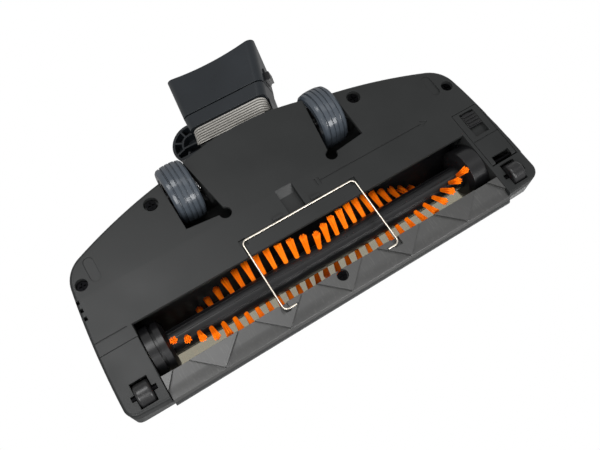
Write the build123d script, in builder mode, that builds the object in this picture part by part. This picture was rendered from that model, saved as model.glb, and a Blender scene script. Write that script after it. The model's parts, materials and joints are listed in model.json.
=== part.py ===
from build123d import *
import os
from math import cos, hypot, radians, sin

os.makedirs("parts", exist_ok=True)

# Floor brush head of a stick vacuum. Lengths are in millimetres, angles in degrees.
# X runs across the head with the belt drive at +X, Y runs back to the neck, Z is up.
# Every number below is measured from the datum: the lip screw's centre on the flat underside.

# Stance
RIDE_HEIGHT = 5.0
ORIGIN_BACK = 85.55

# Suction slot, and the plan outline around it
SLOT_HALF = 113.2
SLOT_REAR_Y = 37.0
END_WALL = 2.0
FRONT_APEX_Y = -13.0
FRONT_CORNER = (SLOT_HALF + 24.1, -8.4)
SIDE_POINT = (SLOT_HALF + 23.1, 38.0)
REAR_CORNER = (SLOT_HALF + 18.3, 83.2)
REAR_APEX_Y = 112.5
HEAD_SPAN = 2 * FRONT_CORNER[0] + 40
FRONT_CORNER_R = 7.0
REAR_CORNER_R = 19.0

# Hood over the roller and roof behind it
HOOD_R = 33.0
HOOD_CENTRE = (22.5, 8.5)
ROOF_END = (125.0, 32.6)
SHOULDER_R = 24.0
ROOF_EDGE_R = 7.0
WINDOW_HALF = SLOT_HALF - 6.2

# Walls and clearances
WALL = 2.2
PLATE = 2.6
EDGE_R = 1.6
PARTING_Z = 8.0
TONGUE = 1.8
SEAM = 0.25
PLAY = 0.4
BORE = 0.06

# Underside: flat at the front, rising a little towards the back
CREASE_Y = 64.0
RISE_DEG = 1.65
FLAP_TOP = 4.0
FLAP_APEX_Y = 116.7
FLAP_CORNER = (42.5, 111.0)

# Roller, as long as the slot less an end piece on each side
ROLLER_Y = 20.6
ROLLER_Z = 16.0
CORE_R = 7.5
COLLAR_L = 12.8
COLLAR_R = 16.2
END_GAP = 0.6
CORE_HALF = SLOT_HALF - COLLAR_L
TUFT_TIP_R = 20.3
TUFT_R = 1.45
TUFT_FLARE_DEG = 2.4
TUFT_PITCH = 7.0
TUFTS_PER_ROW = 2 * int((CORE_HALF - 2) / TUFT_PITCH) + 1
TUFT_END_DEG = 15.0
TUFT_END_X = CORE_HALF - 3.4
TUFT_TWIST = 1.47
SHAFT_R = 4.0
CORE_BORE_R = 3.0
BUSH_R = 6.95

# Belt drive
PULLEY_X = (SLOT_HALF + 4.2, SLOT_HALF + 10.6)
SHAFT_END = PULLEY_X[1] + 7.2
BRUSH_PULLEY_R = 11.0
MOTOR_PULLEY_R = 5.0
MOTOR_Y = 61.0
MOTOR_Z = 19.5
MOTOR_R = 13.5
MOTOR_X = (66.0, 110.0)
MOTOR_SHAFT_R = 1.5
BELT_GAP = 0.3
BELT_THICK = 1.2

# Screws: (x, y, well radius, boss radius)
SHELL_SCREWS = [(71.5, 96.0, 4.5, 6.4), (SLOT_HALF + 13.6, 71.5, 3.7, 5.4)]
BOSS_TOP = 7.9
WELL_TOP = 5.0
SCREW_R = 1.5
SCREW_HEAD_R = 3.2
SCREW_TIP_Z = 18.0
LIP_WELL_R = 3.5
LIP_SCREW_R = 1.2

# Rear wheels
REAR_Y = 100.3
REAR_R = 19.6
REAR_X = (43.0, 60.0)
WHEEL_MID = (REAR_X[0] + REAR_X[1]) / 2
REAR_Z = REAR_R - RIDE_HEIGHT
REAR_AXLE_R = 2.5
HUB_R = 13.2
WHEEL_SLOT = [(61.3, 70.8), (40.0, 68.4), (36.2, 71.0), (42.5, 110.5), (42.5, 130.0), (61.3, 130.0)]
SLOT_RELIEF = (37.0, 68.2, 3.8)
BRACKETS = [(36.3, 38.9), (61.5, 63.7)]
BRACKET_R = 4.4
# Fin along the inner edge of each wheel slot, which closes the view past the wheel
FIN_PLAN = [(36.9, 84.0), (38.2, 84.0), (42.0, 108.0), (40.7, 108.0)]
FIN_TOP = 15.0

# Front wheels
CASTOR_R = 6.6
CASTOR_X = (SLOT_HALF + 6.3, SLOT_HALF + 15.3)
CASTOR_Y = 0.3
CASTOR_Z = CASTOR_R - RIDE_HEIGHT
CASTOR_AXLE_R = 1.5
POCKET_X = (CASTOR_X[0] - 0.5, CASTOR_X[1] + 0.5)
POCKET_Y = (-6.7, 8.2)

# Wire guard, whose legs run between two bundles
WIRE_R = 0.6
GUARD_HALF = 5.5 * TUFT_PITCH
GUARD_END = GUARD_HALF - 7.6
GUARD_HINGE_Y = -0.7
GUARD_REAR_Y = 47.0
GUARD_BEND = 3.0

# Lip under the roller and the rail above it
LIP_HALF = SLOT_HALF - 0.3
LIP_TOP = 5.0
PAD_PITCH = GUARD_HALF + 2.0
PAD_X = [step * PAD_PITCH for step in (-2, -1, 0, 1, 2)]

# Engraved arrow on the underside
ARROW_X = (-21.0, -96.0)
ARROW_Y = 57.0

# End cover and latch door
COVER_REAR_Y = 29.3
DOOR_X = (-SLOT_HALF - 20.8, -SLOT_HALF - END_WALL - PLAY)
DOOR_MID = (DOOR_X[0] + DOOR_X[1]) / 2
DOOR_Y = (12.2, 51.0)
DOOR_PLATE = 2.4
KNUCKLE_R = 1.9
PIN_R = 0.9
PIN_L = 21.2
TONGUE_Z = 1.95
SLIDER_W = 9.5
SLIDER_Y = (38.5, 47.8)
SLIDER_PLAY = 1.75
TONGUE_TIP = DOOR_Y[1] + 0.1

# Neck: tilts about X at the pivot, swivels about an axis that points back and down
PIVOT = (0.0, 120.0, 21.7)
SWIVEL_DIR = (0.0, 0.846, -0.532)
SWIVEL_REST_DEG = -23.8
NECK_REACH = 18.4
NECK_BEND_DEG = 34.4
YOKE_R = 17.0
YOKE_BORE_R = 14.8
YOKE_HALF = 4.0
TRUNNION_R = 3.5
EAR_X = (19.0, 24.0)
EAR_R = 6.3
SPIGOT_R = 14.72
SPIGOT_BORE_R = 12.5
NECK_H = 28.0
NECK_CORNER = 5.5
NECK_WALL = 2.5
BAND_W = (56.0, 59.0)
BAND_L = 9.7
TUBE_START = 10.7
TUBE_END = 42.6
TUBE_W = (59.4, 66.4)
CATCH_X = -TUBE_W[0] / 2 - 1.6
CATCH_Y = 18.5
HOOD_LOBE_R = 14.0
HOOD_LOBE_X = 31.5
HOOD_LOBE_Y = -3.5
WELL_REAR_W = 2 * (HOOD_LOBE_X + HOOD_LOBE_R + 1.5)
HOOD_WALL = 1.8
LOBE_STEP_X = 31.0
LOBE_TOP = 18.4
BELLOWS_RIBS = 5
BELLOWS_PITCH = 2.6
BELLOWS_W = 53.0
BELLOWS_H = 25.0
BELLOWS_FOLD = 1.6
BELLOWS_WALL = 1.2
BELLOWS_CUT = 7.1

HEAD = Plane(origin=(0, -ORIGIN_BACK, RIDE_HEIGHT))


def level(z, base=HEAD):
    """Horizontal plane at height z over the underside."""
    return base.offset(z)


def side(x, base=HEAD):
    """Upright plane at x; its own x runs back and its own y runs up."""
    return Plane(base.from_local_coords(Vector(x, 0, 0)), x_dir=(0, 1, 0), z_dir=(1, 0, 0))


def front(y, base=HEAD):
    """Upright plane at y, seen from the front; its own y runs up."""
    return Plane(base.from_local_coords(Vector(0, y, 0)), x_dir=(1, 0, 0), z_dir=(0, -1, 0))


def circle_through(a, b, c):
    """Centre and radius of the circle through three points."""
    span = 2 * (a[0] * (b[1] - c[1]) + b[0] * (c[1] - a[1]) + c[0] * (a[1] - b[1]))
    square_a = a[0] ** 2 + a[1] ** 2
    square_b = b[0] ** 2 + b[1] ** 2
    square_c = c[0] ** 2 + c[1] ** 2
    x = (square_a * (b[1] - c[1]) + square_b * (c[1] - a[1]) + square_c * (a[1] - b[1])) / span
    y = (square_a * (c[0] - b[0]) + square_b * (a[0] - c[0]) + square_c * (b[0] - a[0])) / span
    return (x, y), hypot(a[0] - x, a[1] - y)


def plan_outline(inset=0.0):
    """Outline of the head from above, drawn in by an inset: what four large discs share."""
    nose = circle_through((-FRONT_CORNER[0], FRONT_CORNER[1]), (0, FRONT_APEX_Y), FRONT_CORNER)
    tail = circle_through((-REAR_CORNER[0], REAR_CORNER[1]), (0, REAR_APEX_Y), REAR_CORNER)
    (flank_x, flank_y), flank_r = circle_through(FRONT_CORNER, SIDE_POINT, REAR_CORNER)
    with BuildSketch(Plane.XY) as plan:
        with Locations(nose[0]):
            Circle(nose[1] - inset)
        with Locations(tail[0]):
            Circle(tail[1] - inset, mode=Mode.INTERSECT)
        for x in (flank_x, -flank_x):
            with Locations((x, flank_y)):
                Circle(flank_r - inset, mode=Mode.INTERSECT)
        fillet(plan.vertices().sort_by(Axis.Y)[:2], FRONT_CORNER_R - inset)
        fillet(plan.vertices().sort_by(Axis.Y)[-2:], REAR_CORNER_R - inset)
    return plan.sketch


def hood_profile(inset=0.0):
    """Side view of the head: quarter-round hood running into the falling roof."""
    start = HOOD_CENTRE[0] - HOOD_R + inset
    crown = HOOD_CENTRE[1] + HOOD_R - inset
    half = (HOOD_R - inset) * sin(radians(45))
    with BuildSketch(Plane.XY) as profile:
        with BuildLine():
            Line((start, -10), (start, HOOD_CENTRE[1]))
            ThreePointArc(
                (start, HOOD_CENTRE[1]),
                (HOOD_CENTRE[0] - half, HOOD_CENTRE[1] + half),
                (HOOD_CENTRE[0], crown),
            )
            roof = TangentArc(
                (HOOD_CENTRE[0], crown), (ROOF_END[0], ROOF_END[1] - inset), tangent=(1, 0)
            )
            Polyline(roof @ 1, (ROOF_END[0], -10), (start, -10))
        make_face()
    return profile.sketch


def shoulder_profile(inset=0.0):
    """Front view of the head: upright flanks with round shoulders."""
    half = FRONT_CORNER[0] + 0.4 - inset
    crown = HOOD_CENTRE[1] + HOOD_R - inset
    with BuildSketch(Plane.XY) as profile:
        with Locations((0, (crown - 10) / 2)):
            Rectangle(2 * half, crown + 10)
        fillet(profile.vertices().sort_by(Axis.Y)[-2:], SHOULDER_R - inset)
    return profile.sketch


def head_form(inset=0.0):
    """Solid of the head's outside, or of its hollow when it is drawn in by a wall."""
    with BuildPart() as form:
        with BuildSketch(Plane.XY.offset(-2)):
            add(plan_outline(inset))
        extrude(amount=60)
        with BuildSketch(side(-HEAD_SPAN / 2, Plane.XY)):
            add(hood_profile(inset))
        extrude(amount=HEAD_SPAN, mode=Mode.INTERSECT)
        with BuildSketch(front(140, Plane.XY)):
            add(shoulder_profile(inset))
        extrude(amount=300, mode=Mode.INTERSECT)
        rear = form.faces().sort_by(Axis.Z)[-1].edges().sort_by(Axis.Y)[-1]
        fillet(rear, ROOF_EDGE_R - inset)
    return form.part


def rounded_slab(width, height, radius):
    """Neck section: a rounded rectangle standing on its lower edge."""
    with BuildSketch(Plane.XY) as section:
        with Locations((0, height / 2)):
            RectangleRounded(width, height, radius)
    return section.sketch


# Lower moulding: tray, flap, bosses, wheel brackets and neck ears
with BuildPart(HEAD) as chassis:
    with BuildSketch(level(0)):
        add(plan_outline())
    extrude(amount=PARTING_Z)
    with BuildSketch(level(PLATE)):
        add(plan_outline(WALL))
    extrude(amount=PARTING_Z, mode=Mode.SUBTRACT)
    with BuildSketch(level(PARTING_Z)):
        add(plan_outline(WALL - 1.0))
        add(plan_outline(WALL), mode=Mode.SUBTRACT)
    extrude(amount=TONGUE)
    with BuildSketch(level(PLATE)):
        with Locations((0, 110)):
            Rectangle(81, 30)
    extrude(amount=PARTING_Z, mode=Mode.SUBTRACT)
    with BuildSketch(level(0)):
        with BuildLine():
            hem = ThreePointArc(
                (-FLAP_CORNER[0], FLAP_CORNER[1]), (0, FLAP_APEX_Y), FLAP_CORNER
            )
            Polyline(hem @ 1, (FLAP_CORNER[0], 80), (-FLAP_CORNER[0], 80), hem @ 0)
        make_face()
    extrude(amount=FLAP_TOP)
    with BuildSketch(side(-HEAD_SPAN / 2)):
        with BuildLine():
            rise = (125 - CREASE_Y) * sin(radians(RISE_DEG))
            Polyline((CREASE_Y, 0), (125, -1), (125, rise), (CREASE_Y, 0))
        make_face()
    extrude(amount=HEAD_SPAN, mode=Mode.SUBTRACT)
    hems = [
        edge
        for edge in chassis.edges()
        if edge.bounding_box().max.Z < RIDE_HEIGHT + 1.7 and edge.length > 4
    ]
    fillet([edge for edge in hems if abs((edge @ 0).Y - (edge @ 1).Y) > 0.01 or (edge @ 0.5).Y < 0], EDGE_R)
    with Locations((0, 56.7, 4.2)):
        Box(16, 22.5, 3.2)
    for x, y, well, boss in SHELL_SCREWS:
        with Locations((x, y, BOSS_TOP / 2 + 0.8), (-x, y, BOSS_TOP / 2 + 0.8)):
            Cylinder(boss, BOSS_TOP - 1.6)
        with Locations((x, y, WELL_TOP), (-x, y, WELL_TOP)):
            Cylinder(well, 30, align=(Align.CENTER, Align.CENTER, Align.MAX), mode=Mode.SUBTRACT)
            Cylinder(SCREW_R + 0.3, 20, mode=Mode.SUBTRACT)
    with BuildSketch(level(-2)):
        with Locations((0, (SLOT_REAR_Y - 40) / 2)):
            Rectangle(2 * SLOT_HALF, SLOT_REAR_Y + 40)
        with Locations((SLOT_HALF + 20, (COVER_REAR_Y - 40) / 2)):
            Rectangle(40, COVER_REAR_Y + 40)
        with Locations((DOOR_MID, (DOOR_Y[0] - 2.4 + DOOR_Y[1] + PLAY) / 2)):
            Rectangle(DOOR_X[1] - DOOR_X[0] + 2 * PLAY, DOOR_Y[1] + PLAY - DOOR_Y[0] + 2.4)
        with Locations((-(POCKET_X[0] + POCKET_X[1]) / 2, (POCKET_Y[0] + POCKET_Y[1]) / 2)):
            Rectangle(POCKET_X[1] - POCKET_X[0], POCKET_Y[1] - POCKET_Y[0])
    extrude(amount=PARTING_Z + TONGUE + 4, mode=Mode.SUBTRACT)
    with BuildSketch(level(-2)):
        with BuildLine():
            Polyline(*WHEEL_SLOT, close=True)
        make_face()
        with Locations(SLOT_RELIEF[:2]):
            Circle(SLOT_RELIEF[2])
        mirror(about=Plane.YZ)
    extrude(amount=20, mode=Mode.SUBTRACT)
    # End walls that carry the roller's bushes
    with BuildSketch(side(-SLOT_HALF - END_WALL)):
        Polygon((4, 0), (37, 0), (37, 20), (33, 30), (8, 30), (4, 20), align=None)
    extrude(amount=END_WALL)
    with BuildSketch(side(SLOT_HALF)):
        Polygon(
            (4, 2.9), (29.7, 2.9), (29.7, 0.6), (41, 0.6), (41, 16), (33, 30), (8, 30), (4, 20),
            align=None,
        )
    extrude(amount=END_WALL)
    with Locations((0, ROLLER_Y, ROLLER_Z)):
        Cylinder(BUSH_R + 0.05, 2 * SLOT_HALF + 14, rotation=(0, 90, 0), mode=Mode.SUBTRACT)
    # Wheel brackets
    for inner, outer in BRACKETS:
        with BuildSketch(side(inner), side(-outer)):
            with Locations((REAR_Y, REAR_Z)):
                Circle(BRACKET_R)
            with Locations((REAR_Y - 7, 2.2)):
                Rectangle(16, 1.6)
            make_hull()
            with Locations((REAR_Y, REAR_Z)):
                Circle(REAR_AXLE_R + 0.05, mode=Mode.SUBTRACT)
        extrude(amount=outer - inner)
    with BuildSketch(level(2)):
        Polygon(*FIN_PLAN, align=None)
        Polygon(*[(-x, y) for x, y in FIN_PLAN], align=None)
    extrude(amount=FIN_TOP - 2)
    with Locations((40.3, REAR_Y, REAR_Z), (-40.3, REAR_Y, REAR_Z)):
        Box(2.7, 11.0, 11.0, mode=Mode.SUBTRACT)
    # Front wheel bracket on the latch side
    with Locations((-POCKET_X[0] + 1.1, 0.6, 3.0), (-POCKET_X[1] - 1.1, 0.6, 3.0)):
        Box(2.2, 10, 6)
    with BuildSketch(side(-POCKET_X[1] - 2.4)):
        with Locations((CASTOR_Y, CASTOR_Z - 10)):
            Rectangle(2 * CASTOR_AXLE_R + 0.1, 20)
        with Locations((CASTOR_Y, CASTOR_Z)):
            Circle(CASTOR_AXLE_R + 0.05)
    extrude(amount=POCKET_X[1] - POCKET_X[0] + 4.8, mode=Mode.SUBTRACT)
    # Neck ears
    with BuildSketch(side(EAR_X[0]), side(-EAR_X[1])):
        with Locations((PIVOT[1], PIVOT[2])):
            Circle(EAR_R)
        with Locations((109.2, 3.2)):
            Rectangle(14.2, 1.2)
        make_hull()
        with Locations((PIVOT[1], PIVOT[2])):
            Circle(TRUNNION_R + 0.08, mode=Mode.SUBTRACT)
    extrude(amount=EAR_X[1] - EAR_X[0])
    # Latch keeper and pin seat
    with Locations((DOOR_MID, DOOR_Y[1] + 2.4, 2.6)):
        Box(8.5, 3.6, 4.4)
    with Locations((DOOR_MID, DOOR_Y[1] + 2.4, TONGUE_Z)):
        Box(6.2, 10, 1.7, mode=Mode.SUBTRACT)
    with Locations((DOOR_X[0] - 1.4, DOOR_Y[0], 2.2)):
        Box(2.0, 4.8, 4.2)
    with Locations((DOOR_MID, DOOR_Y[0], KNUCKLE_R)):
        Cylinder(PIN_R + 0.05, PIN_L + 0.4, rotation=(0, 90, 0), mode=Mode.SUBTRACT)
    # Guard groove, corner pockets, noses behind the wire and the finger recess
    with Locations((0, GUARD_REAR_Y, 0)):
        Cylinder(WIRE_R + 0.35, 2 * GUARD_HALF, rotation=(0, 90, 0), mode=Mode.SUBTRACT)
    with Locations((GUARD_HALF, 41, 0), (-GUARD_HALF, 41, 0)):
        Cylinder(WIRE_R + 0.35, 12, rotation=(90, 0, 0), mode=Mode.SUBTRACT)
    with Locations((GUARD_HALF - 0.8, GUARD_REAR_Y - 0.8, 0), (0.8 - GUARD_HALF, GUARD_REAR_Y - 0.8, 0)):
        Box(4.6, 4.6, 2.4, mode=Mode.SUBTRACT)
    with Locations((-13, GUARD_REAR_Y + 2.3, 0), (13, GUARD_REAR_Y + 2.3, 0)):
        Box(6.5, 1.6, 2.2)
    with BuildSketch(side(-5.7)):
        Polygon((46.2, -1), (66.2, -1), (64.6, 0.2), (60, 4), (46.2, 4), align=None)
    extrude(amount=11.4, mode=Mode.SUBTRACT)
    # Vents, dimples and the seam line beside the end cover
    with Locations(*[(SLOT_HALF + 19.7, y, 0) for y in (52.5, 57.7, 62.9)]):
        Box(1.8, 2.4, 8, mode=Mode.SUBTRACT)
    with BuildSketch(level(-1)):
        with Locations((SLOT_HALF + 4.8, 77), (-SLOT_HALF - 4.8, 77)):
            SlotOverall(16, 6, rotation=90)
    extrude(amount=2.1, mode=Mode.SUBTRACT)
    with Locations((SLOT_HALF + 12.2, SLOT_REAR_Y, 0)):
        Box(19, 0.7, 1.0, mode=Mode.SUBTRACT)
    # Engraved line with an arrowhead that points to the latch
    with BuildSketch(level(-1)):
        with Locations((ARROW_X[0] / 2 + ARROW_X[1] / 2, ARROW_Y)):
            Rectangle(ARROW_X[0] - ARROW_X[1], 0.7)
        with Locations((ARROW_X[1], ARROW_Y)):
            Polygon((-4.5, 0), (0, 2.2), (0, -2.2), align=None)
        with Locations((ARROW_X[0], ARROW_Y), (ARROW_X[0] + 2.4, ARROW_Y)):
            Rectangle(0.8, 5.0)
    extrude(amount=1.45, mode=Mode.SUBTRACT)
chassis.part.label = "chassis"
export_step(chassis.part, "parts/chassis.step")

# Upper moulding: skin, screw posts, neck well and the rail over the lip
with BuildPart(HEAD) as top_shell:
    add(head_form())
    add(head_form(WALL), mode=Mode.SUBTRACT)
    for x, y, well, boss in SHELL_SCREWS:
        with Locations((x, y, BOSS_TOP + SEAM), (-x, y, BOSS_TOP + SEAM)):
            Cylinder(4.4, 40, align=(Align.CENTER, Align.CENTER, Align.MIN))
    with BuildSketch(level(PARTING_Z)):
        with Locations((0, 110)):
            Rectangle(81.4, 38.4)
            Rectangle(77, 34, mode=Mode.SUBTRACT)
    extrude(amount=40)
    add(head_form(), mode=Mode.INTERSECT)
    with BuildSketch(level(PARTING_Z + SEAM)):
        Rectangle(320, 320)
    extrude(amount=-40, mode=Mode.SUBTRACT)
    with BuildSketch(level(PARTING_Z)):
        add(plan_outline(WALL - 1.0 - 0.15))
        add(plan_outline(WALL + 0.3), mode=Mode.SUBTRACT)
    extrude(amount=TONGUE + SEAM, mode=Mode.SUBTRACT)
    with BuildSketch(level(0)):
        with Locations((0, 110)):
            Rectangle(77, 34)
        with Locations((0, 111.7)):
            Rectangle(WELL_REAR_W, 23.6)
    extrude(amount=60, mode=Mode.SUBTRACT)
    with Locations((0, 92, 20.5)):
        Cylinder(11.8, 10, rotation=(90, 0, 0), mode=Mode.SUBTRACT)
    for inner, outer in BRACKETS:
        for x in ((inner + outer) / 2, -(inner + outer) / 2):
            with Locations((x, REAR_Y, 0)):
                Box(outer - inner + 0.6, 2 * BRACKET_R + 0.8, 2 * (REAR_Z + BRACKET_R + PLAY), mode=Mode.SUBTRACT)
    with Locations((37.6, REAR_Y - 4, 8), (-37.6, REAR_Y - 4, 8)):
        Box(10, 22, 25, mode=Mode.SUBTRACT)
    with Locations((WHEEL_MID, REAR_Y, REAR_Z), (-WHEEL_MID, REAR_Y, REAR_Z)):
        Cylinder(REAR_R + 0.8, REAR_X[1] - REAR_X[0] + 2.8, rotation=(0, 90, 0), mode=Mode.SUBTRACT)
    for x, y, well, boss in SHELL_SCREWS:
        with Locations((x, y, 0), (-x, y, 0)):
            Cylinder(SCREW_R + 0.05, 2 * SCREW_TIP_Z + 2, mode=Mode.SUBTRACT)
    # Window opening and the rail below it
    with BuildSketch(side(-WINDOW_HALF - 0.3)):
        Polygon((-30, 13.0), (-2, 13.0), (34.3, 30), (34.3, 60), (-30, 60), align=None)
    extrude(amount=2 * WINDOW_HALF + 0.6, mode=Mode.SUBTRACT)
    with BuildSketch(side(-SLOT_HALF + 0.3)):
        with BuildLine():
            Polyline((-11.8, LIP_TOP + 0.2), (-12.7, 7.0))
            Spline((-12.7, 7.0), (-12.5, 9.8), (-11.4, 12.0))
            Polyline((-11.4, 12.0), (-10.0, 12.8), (-5.5, 12.8), (-2.2, 10.3), (1.2, LIP_TOP + 0.2))
            Line((1.2, LIP_TOP + 0.2), (-11.8, LIP_TOP + 0.2))
        make_face()
    extrude(amount=2 * SLOT_HALF - 0.6)
    with Locations((0, 0, LIP_TOP)):
        Cylinder(LIP_SCREW_R + 0.05, 6.4, mode=Mode.SUBTRACT)
top_shell.part.label = "top_shell"
export_step(top_shell.part, "parts/top_shell.step")

# Smoked window over the roller
with BuildPart(HEAD) as window:
    add(head_form())
    add(head_form(1.8), mode=Mode.SUBTRACT)
    with BuildSketch(side(-WINDOW_HALF)):
        Polygon((-30, 13.0), (-2, 13.0), (34, 30), (34, 60), (-30, 60), align=None)
    extrude(amount=2 * WINDOW_HALF, mode=Mode.INTERSECT)
window.part.label = "window"
export_step(window.part, "parts/window.step")

# Lip with its V-shaped runners
with BuildPart(HEAD) as front_lip:
    with BuildSketch(side(-LIP_HALF)):
        with BuildLine():
            Polyline((-11.8, LIP_TOP), (1.5, LIP_TOP), (3.4, 2.6), (3.4, 1.6), (-3.6, 2.0))
            TangentArc((-3.6, 2.0), (-10.4, 3.5), tangent=(-1, 0.06))
            Line((-10.4, 3.5), (-11.8, LIP_TOP))
        make_face()
    extrude(amount=2 * LIP_HALF)
    with BuildSketch(level(0)):
        with Locations(*[(x, 0) for x in PAD_X]):
            Polygon((-15, 3.2), (0, -10.5), (15, 3.2), align=None)
        with Locations((0, 0)):
            Circle(6.4)
        with Locations((LIP_HALF, 0)):
            Polygon((0, 3.2), (-7, 3.2), (0, -5.5), align=None)
        with Locations((-LIP_HALF, 0)):
            Polygon((0, 3.2), (7, 3.2), (0, -5.5), align=None)
        with Locations((0, 13.4)):
            Rectangle(400, 20, mode=Mode.SUBTRACT)
    extrude(amount=3.4)
    with Locations((0, 0, 3.6)):
        Cylinder(LIP_WELL_R, 10, align=(Align.CENTER, Align.CENTER, Align.MAX), mode=Mode.SUBTRACT)
        Cylinder(LIP_SCREW_R + 0.1, 20, mode=Mode.SUBTRACT)
    # Slots that hold the turned-in ends of the wire guard
    with Locations((GUARD_HALF - 3.4, GUARD_HINGE_Y, 0), (3.4 - GUARD_HALF, GUARD_HINGE_Y, 0)):
        Cylinder(WIRE_R + 0.06, 10.4, rotation=(0, 90, 0), mode=Mode.SUBTRACT)
        Box(10.4, 2 * WIRE_R + 0.12, 3, align=(Align.CENTER, Align.CENTER, Align.MAX), mode=Mode.SUBTRACT)
    with Locations((GUARD_HALF - 0.9, 1.6, 0), (0.9 - GUARD_HALF, 1.6, 0)):
        Box(5.0, 7.6, 5.2, mode=Mode.SUBTRACT)
front_lip.part.label = "front_lip"
export_step(front_lip.part, "parts/front_lip.step")

# Cover under the belt, with the left front wheel's pocket
with BuildPart(HEAD) as end_cover:
    with BuildSketch(level(0)):
        add(plan_outline())
    extrude(amount=PARTING_Z)
    with BuildSketch(level(PLATE)):
        add(plan_outline(WALL))
    extrude(amount=PARTING_Z, mode=Mode.SUBTRACT)
    fillet(end_cover.faces().sort_by(Axis.Z)[0].edges(), EDGE_R)
    with BuildSketch(level(-1)):
        with Locations((SLOT_HALF + SEAM + 20, (COVER_REAR_Y - SEAM - 40) / 2)):
            Rectangle(40, COVER_REAR_Y - SEAM + 40)
    extrude(amount=20, mode=Mode.INTERSECT)
    with Locations((POCKET_X[0] - 1.1, 0.6, 3.0), (POCKET_X[1] + 1.1, 0.6, 3.0)):
        Box(2.2, 10, 6)
    with Locations(((POCKET_X[0] + POCKET_X[1]) / 2, (POCKET_Y[0] + POCKET_Y[1]) / 2, 0)):
        Box(POCKET_X[1] - POCKET_X[0], POCKET_Y[1] - POCKET_Y[0], 30, mode=Mode.SUBTRACT)
    with BuildSketch(side(POCKET_X[0] - 2.4)):
        with Locations((CASTOR_Y, CASTOR_Z - 10)):
            Rectangle(2 * CASTOR_AXLE_R + 0.1, 20)
        with Locations((CASTOR_Y, CASTOR_Z)):
            Circle(CASTOR_AXLE_R + 0.05)
    extrude(amount=POCKET_X[1] - POCKET_X[0] + 4.8, mode=Mode.SUBTRACT)
end_cover.part.label = "end_cover"
export_step(end_cover.part, "parts/end_cover.step")

# Screws
with BuildPart(HEAD) as chassis_screws:
    for x, y, well, boss in SHELL_SCREWS:
        with Locations((x, y, WELL_TOP), (-x, y, WELL_TOP)):
            Cylinder(SCREW_R, SCREW_TIP_Z - WELL_TOP, align=(Align.CENTER, Align.CENTER, Align.MIN))
            Cylinder(SCREW_HEAD_R, 2.2, align=(Align.CENTER, Align.CENTER, Align.MAX))
        with Locations((x, y, WELL_TOP - 2.2), (-x, y, WELL_TOP - 2.2)):
            Box(4.2, 0.8, 2.0, mode=Mode.SUBTRACT)
            Box(0.8, 4.2, 2.0, mode=Mode.SUBTRACT)
chassis_screws.part.label = "chassis_screws"
export_step(chassis_screws.part, "parts/chassis_screws.step")

with BuildPart(HEAD) as lip_screw:
    with Locations((0, 0, 3.6)):
        Cylinder(LIP_SCREW_R, 4.4, align=(Align.CENTER, Align.CENTER, Align.MIN))
        Cylinder(2.9, 1.8, align=(Align.CENTER, Align.CENTER, Align.MAX))
    with Locations((0, 0, 1.8)):
        Box(3.6, 0.7, 1.6, mode=Mode.SUBTRACT)
        Box(0.7, 3.6, 1.6, mode=Mode.SUBTRACT)
lip_screw.part.label = "lip_screw"
export_step(lip_screw.part, "parts/lip_screw.step")

# Wall behind the roller with the outlet to the duct
with BuildPart(HEAD) as chamber_wall:
    with BuildSketch(side(0.4 - SLOT_HALF)):
        with BuildLine():
            outer = CenterArc((ROLLER_Y, ROLLER_Z), 24.8, -30, 96)
            inner = CenterArc((ROLLER_Y, ROLLER_Z), 23.2, -30, 96)
            Line(outer @ 0, inner @ 0)
            Line(outer @ 1, inner @ 1)
        make_face()
    extrude(amount=2 * SLOT_HALF - 0.8)
    with Locations((0, 43.0, 3.4)):
        Box(2 * SLOT_HALF - 0.8, 4.4, 1.3)
    with Locations((0, ROLLER_Y, ROLLER_Z)):
        Cylinder(23.2, 300, rotation=(0, 90, 0), mode=Mode.SUBTRACT)
    with Locations((0, 42, 20)):
        Box(51, 20, 19, mode=Mode.SUBTRACT)
chamber_wall.part.label = "chamber_wall"
export_step(chamber_wall.part, "parts/chamber_wall.step")

# Duct from the outlet to the neck
with BuildPart(HEAD) as suction_duct:
    with BuildSketch(front(38)):
        with Locations((0, 19.5)):
            RectangleRounded(54, 25, 4)
    extrude(amount=-50)
    with BuildSketch(front(88)):
        with Locations((0, 20.5)):
            Circle(11.5)
    extrude(amount=-8)
    with BuildSketch(front(36)):
        with Locations((0, 19.5)):
            RectangleRounded(50.4, 21.4, 3)
    extrude(amount=-50.2, mode=Mode.SUBTRACT)
    with Locations((0, 92, 20.5)):
        Cylinder(9.6, 20, rotation=(90, 0, 0), mode=Mode.SUBTRACT)
    with Locations((0, ROLLER_Y, ROLLER_Z)):
        Cylinder(24.9, 300, rotation=(0, 90, 0), mode=Mode.SUBTRACT)
suction_duct.part.label = "suction_duct"
export_step(suction_duct.part, "parts/suction_duct.step")

with BuildPart(HEAD) as inner_hose:
    with BuildSketch(side(0)):
        with BuildLine():
            wall = [(96.2, 9.7), (96.2, 11.3)]
            for fold in range(4):
                wall.append((97.2 + fold * 2.0, 11.3))
                wall.append((98.2 + fold * 2.0, 10.4))
            wall.extend([(105.2, 11.3), (105.4, 9.7)])
            Polyline(*[(y, ROLLER_Z + 4.5 + r) for y, r in wall], close=True)
        make_face()
    revolve(axis=Axis(HEAD.from_local_coords(Vector(0, 0, ROLLER_Z + 4.5)), (0, 1, 0)))
inner_hose.part.label = "inner_hose"
export_step(inner_hose.part, "parts/inner_hose.step")

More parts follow.
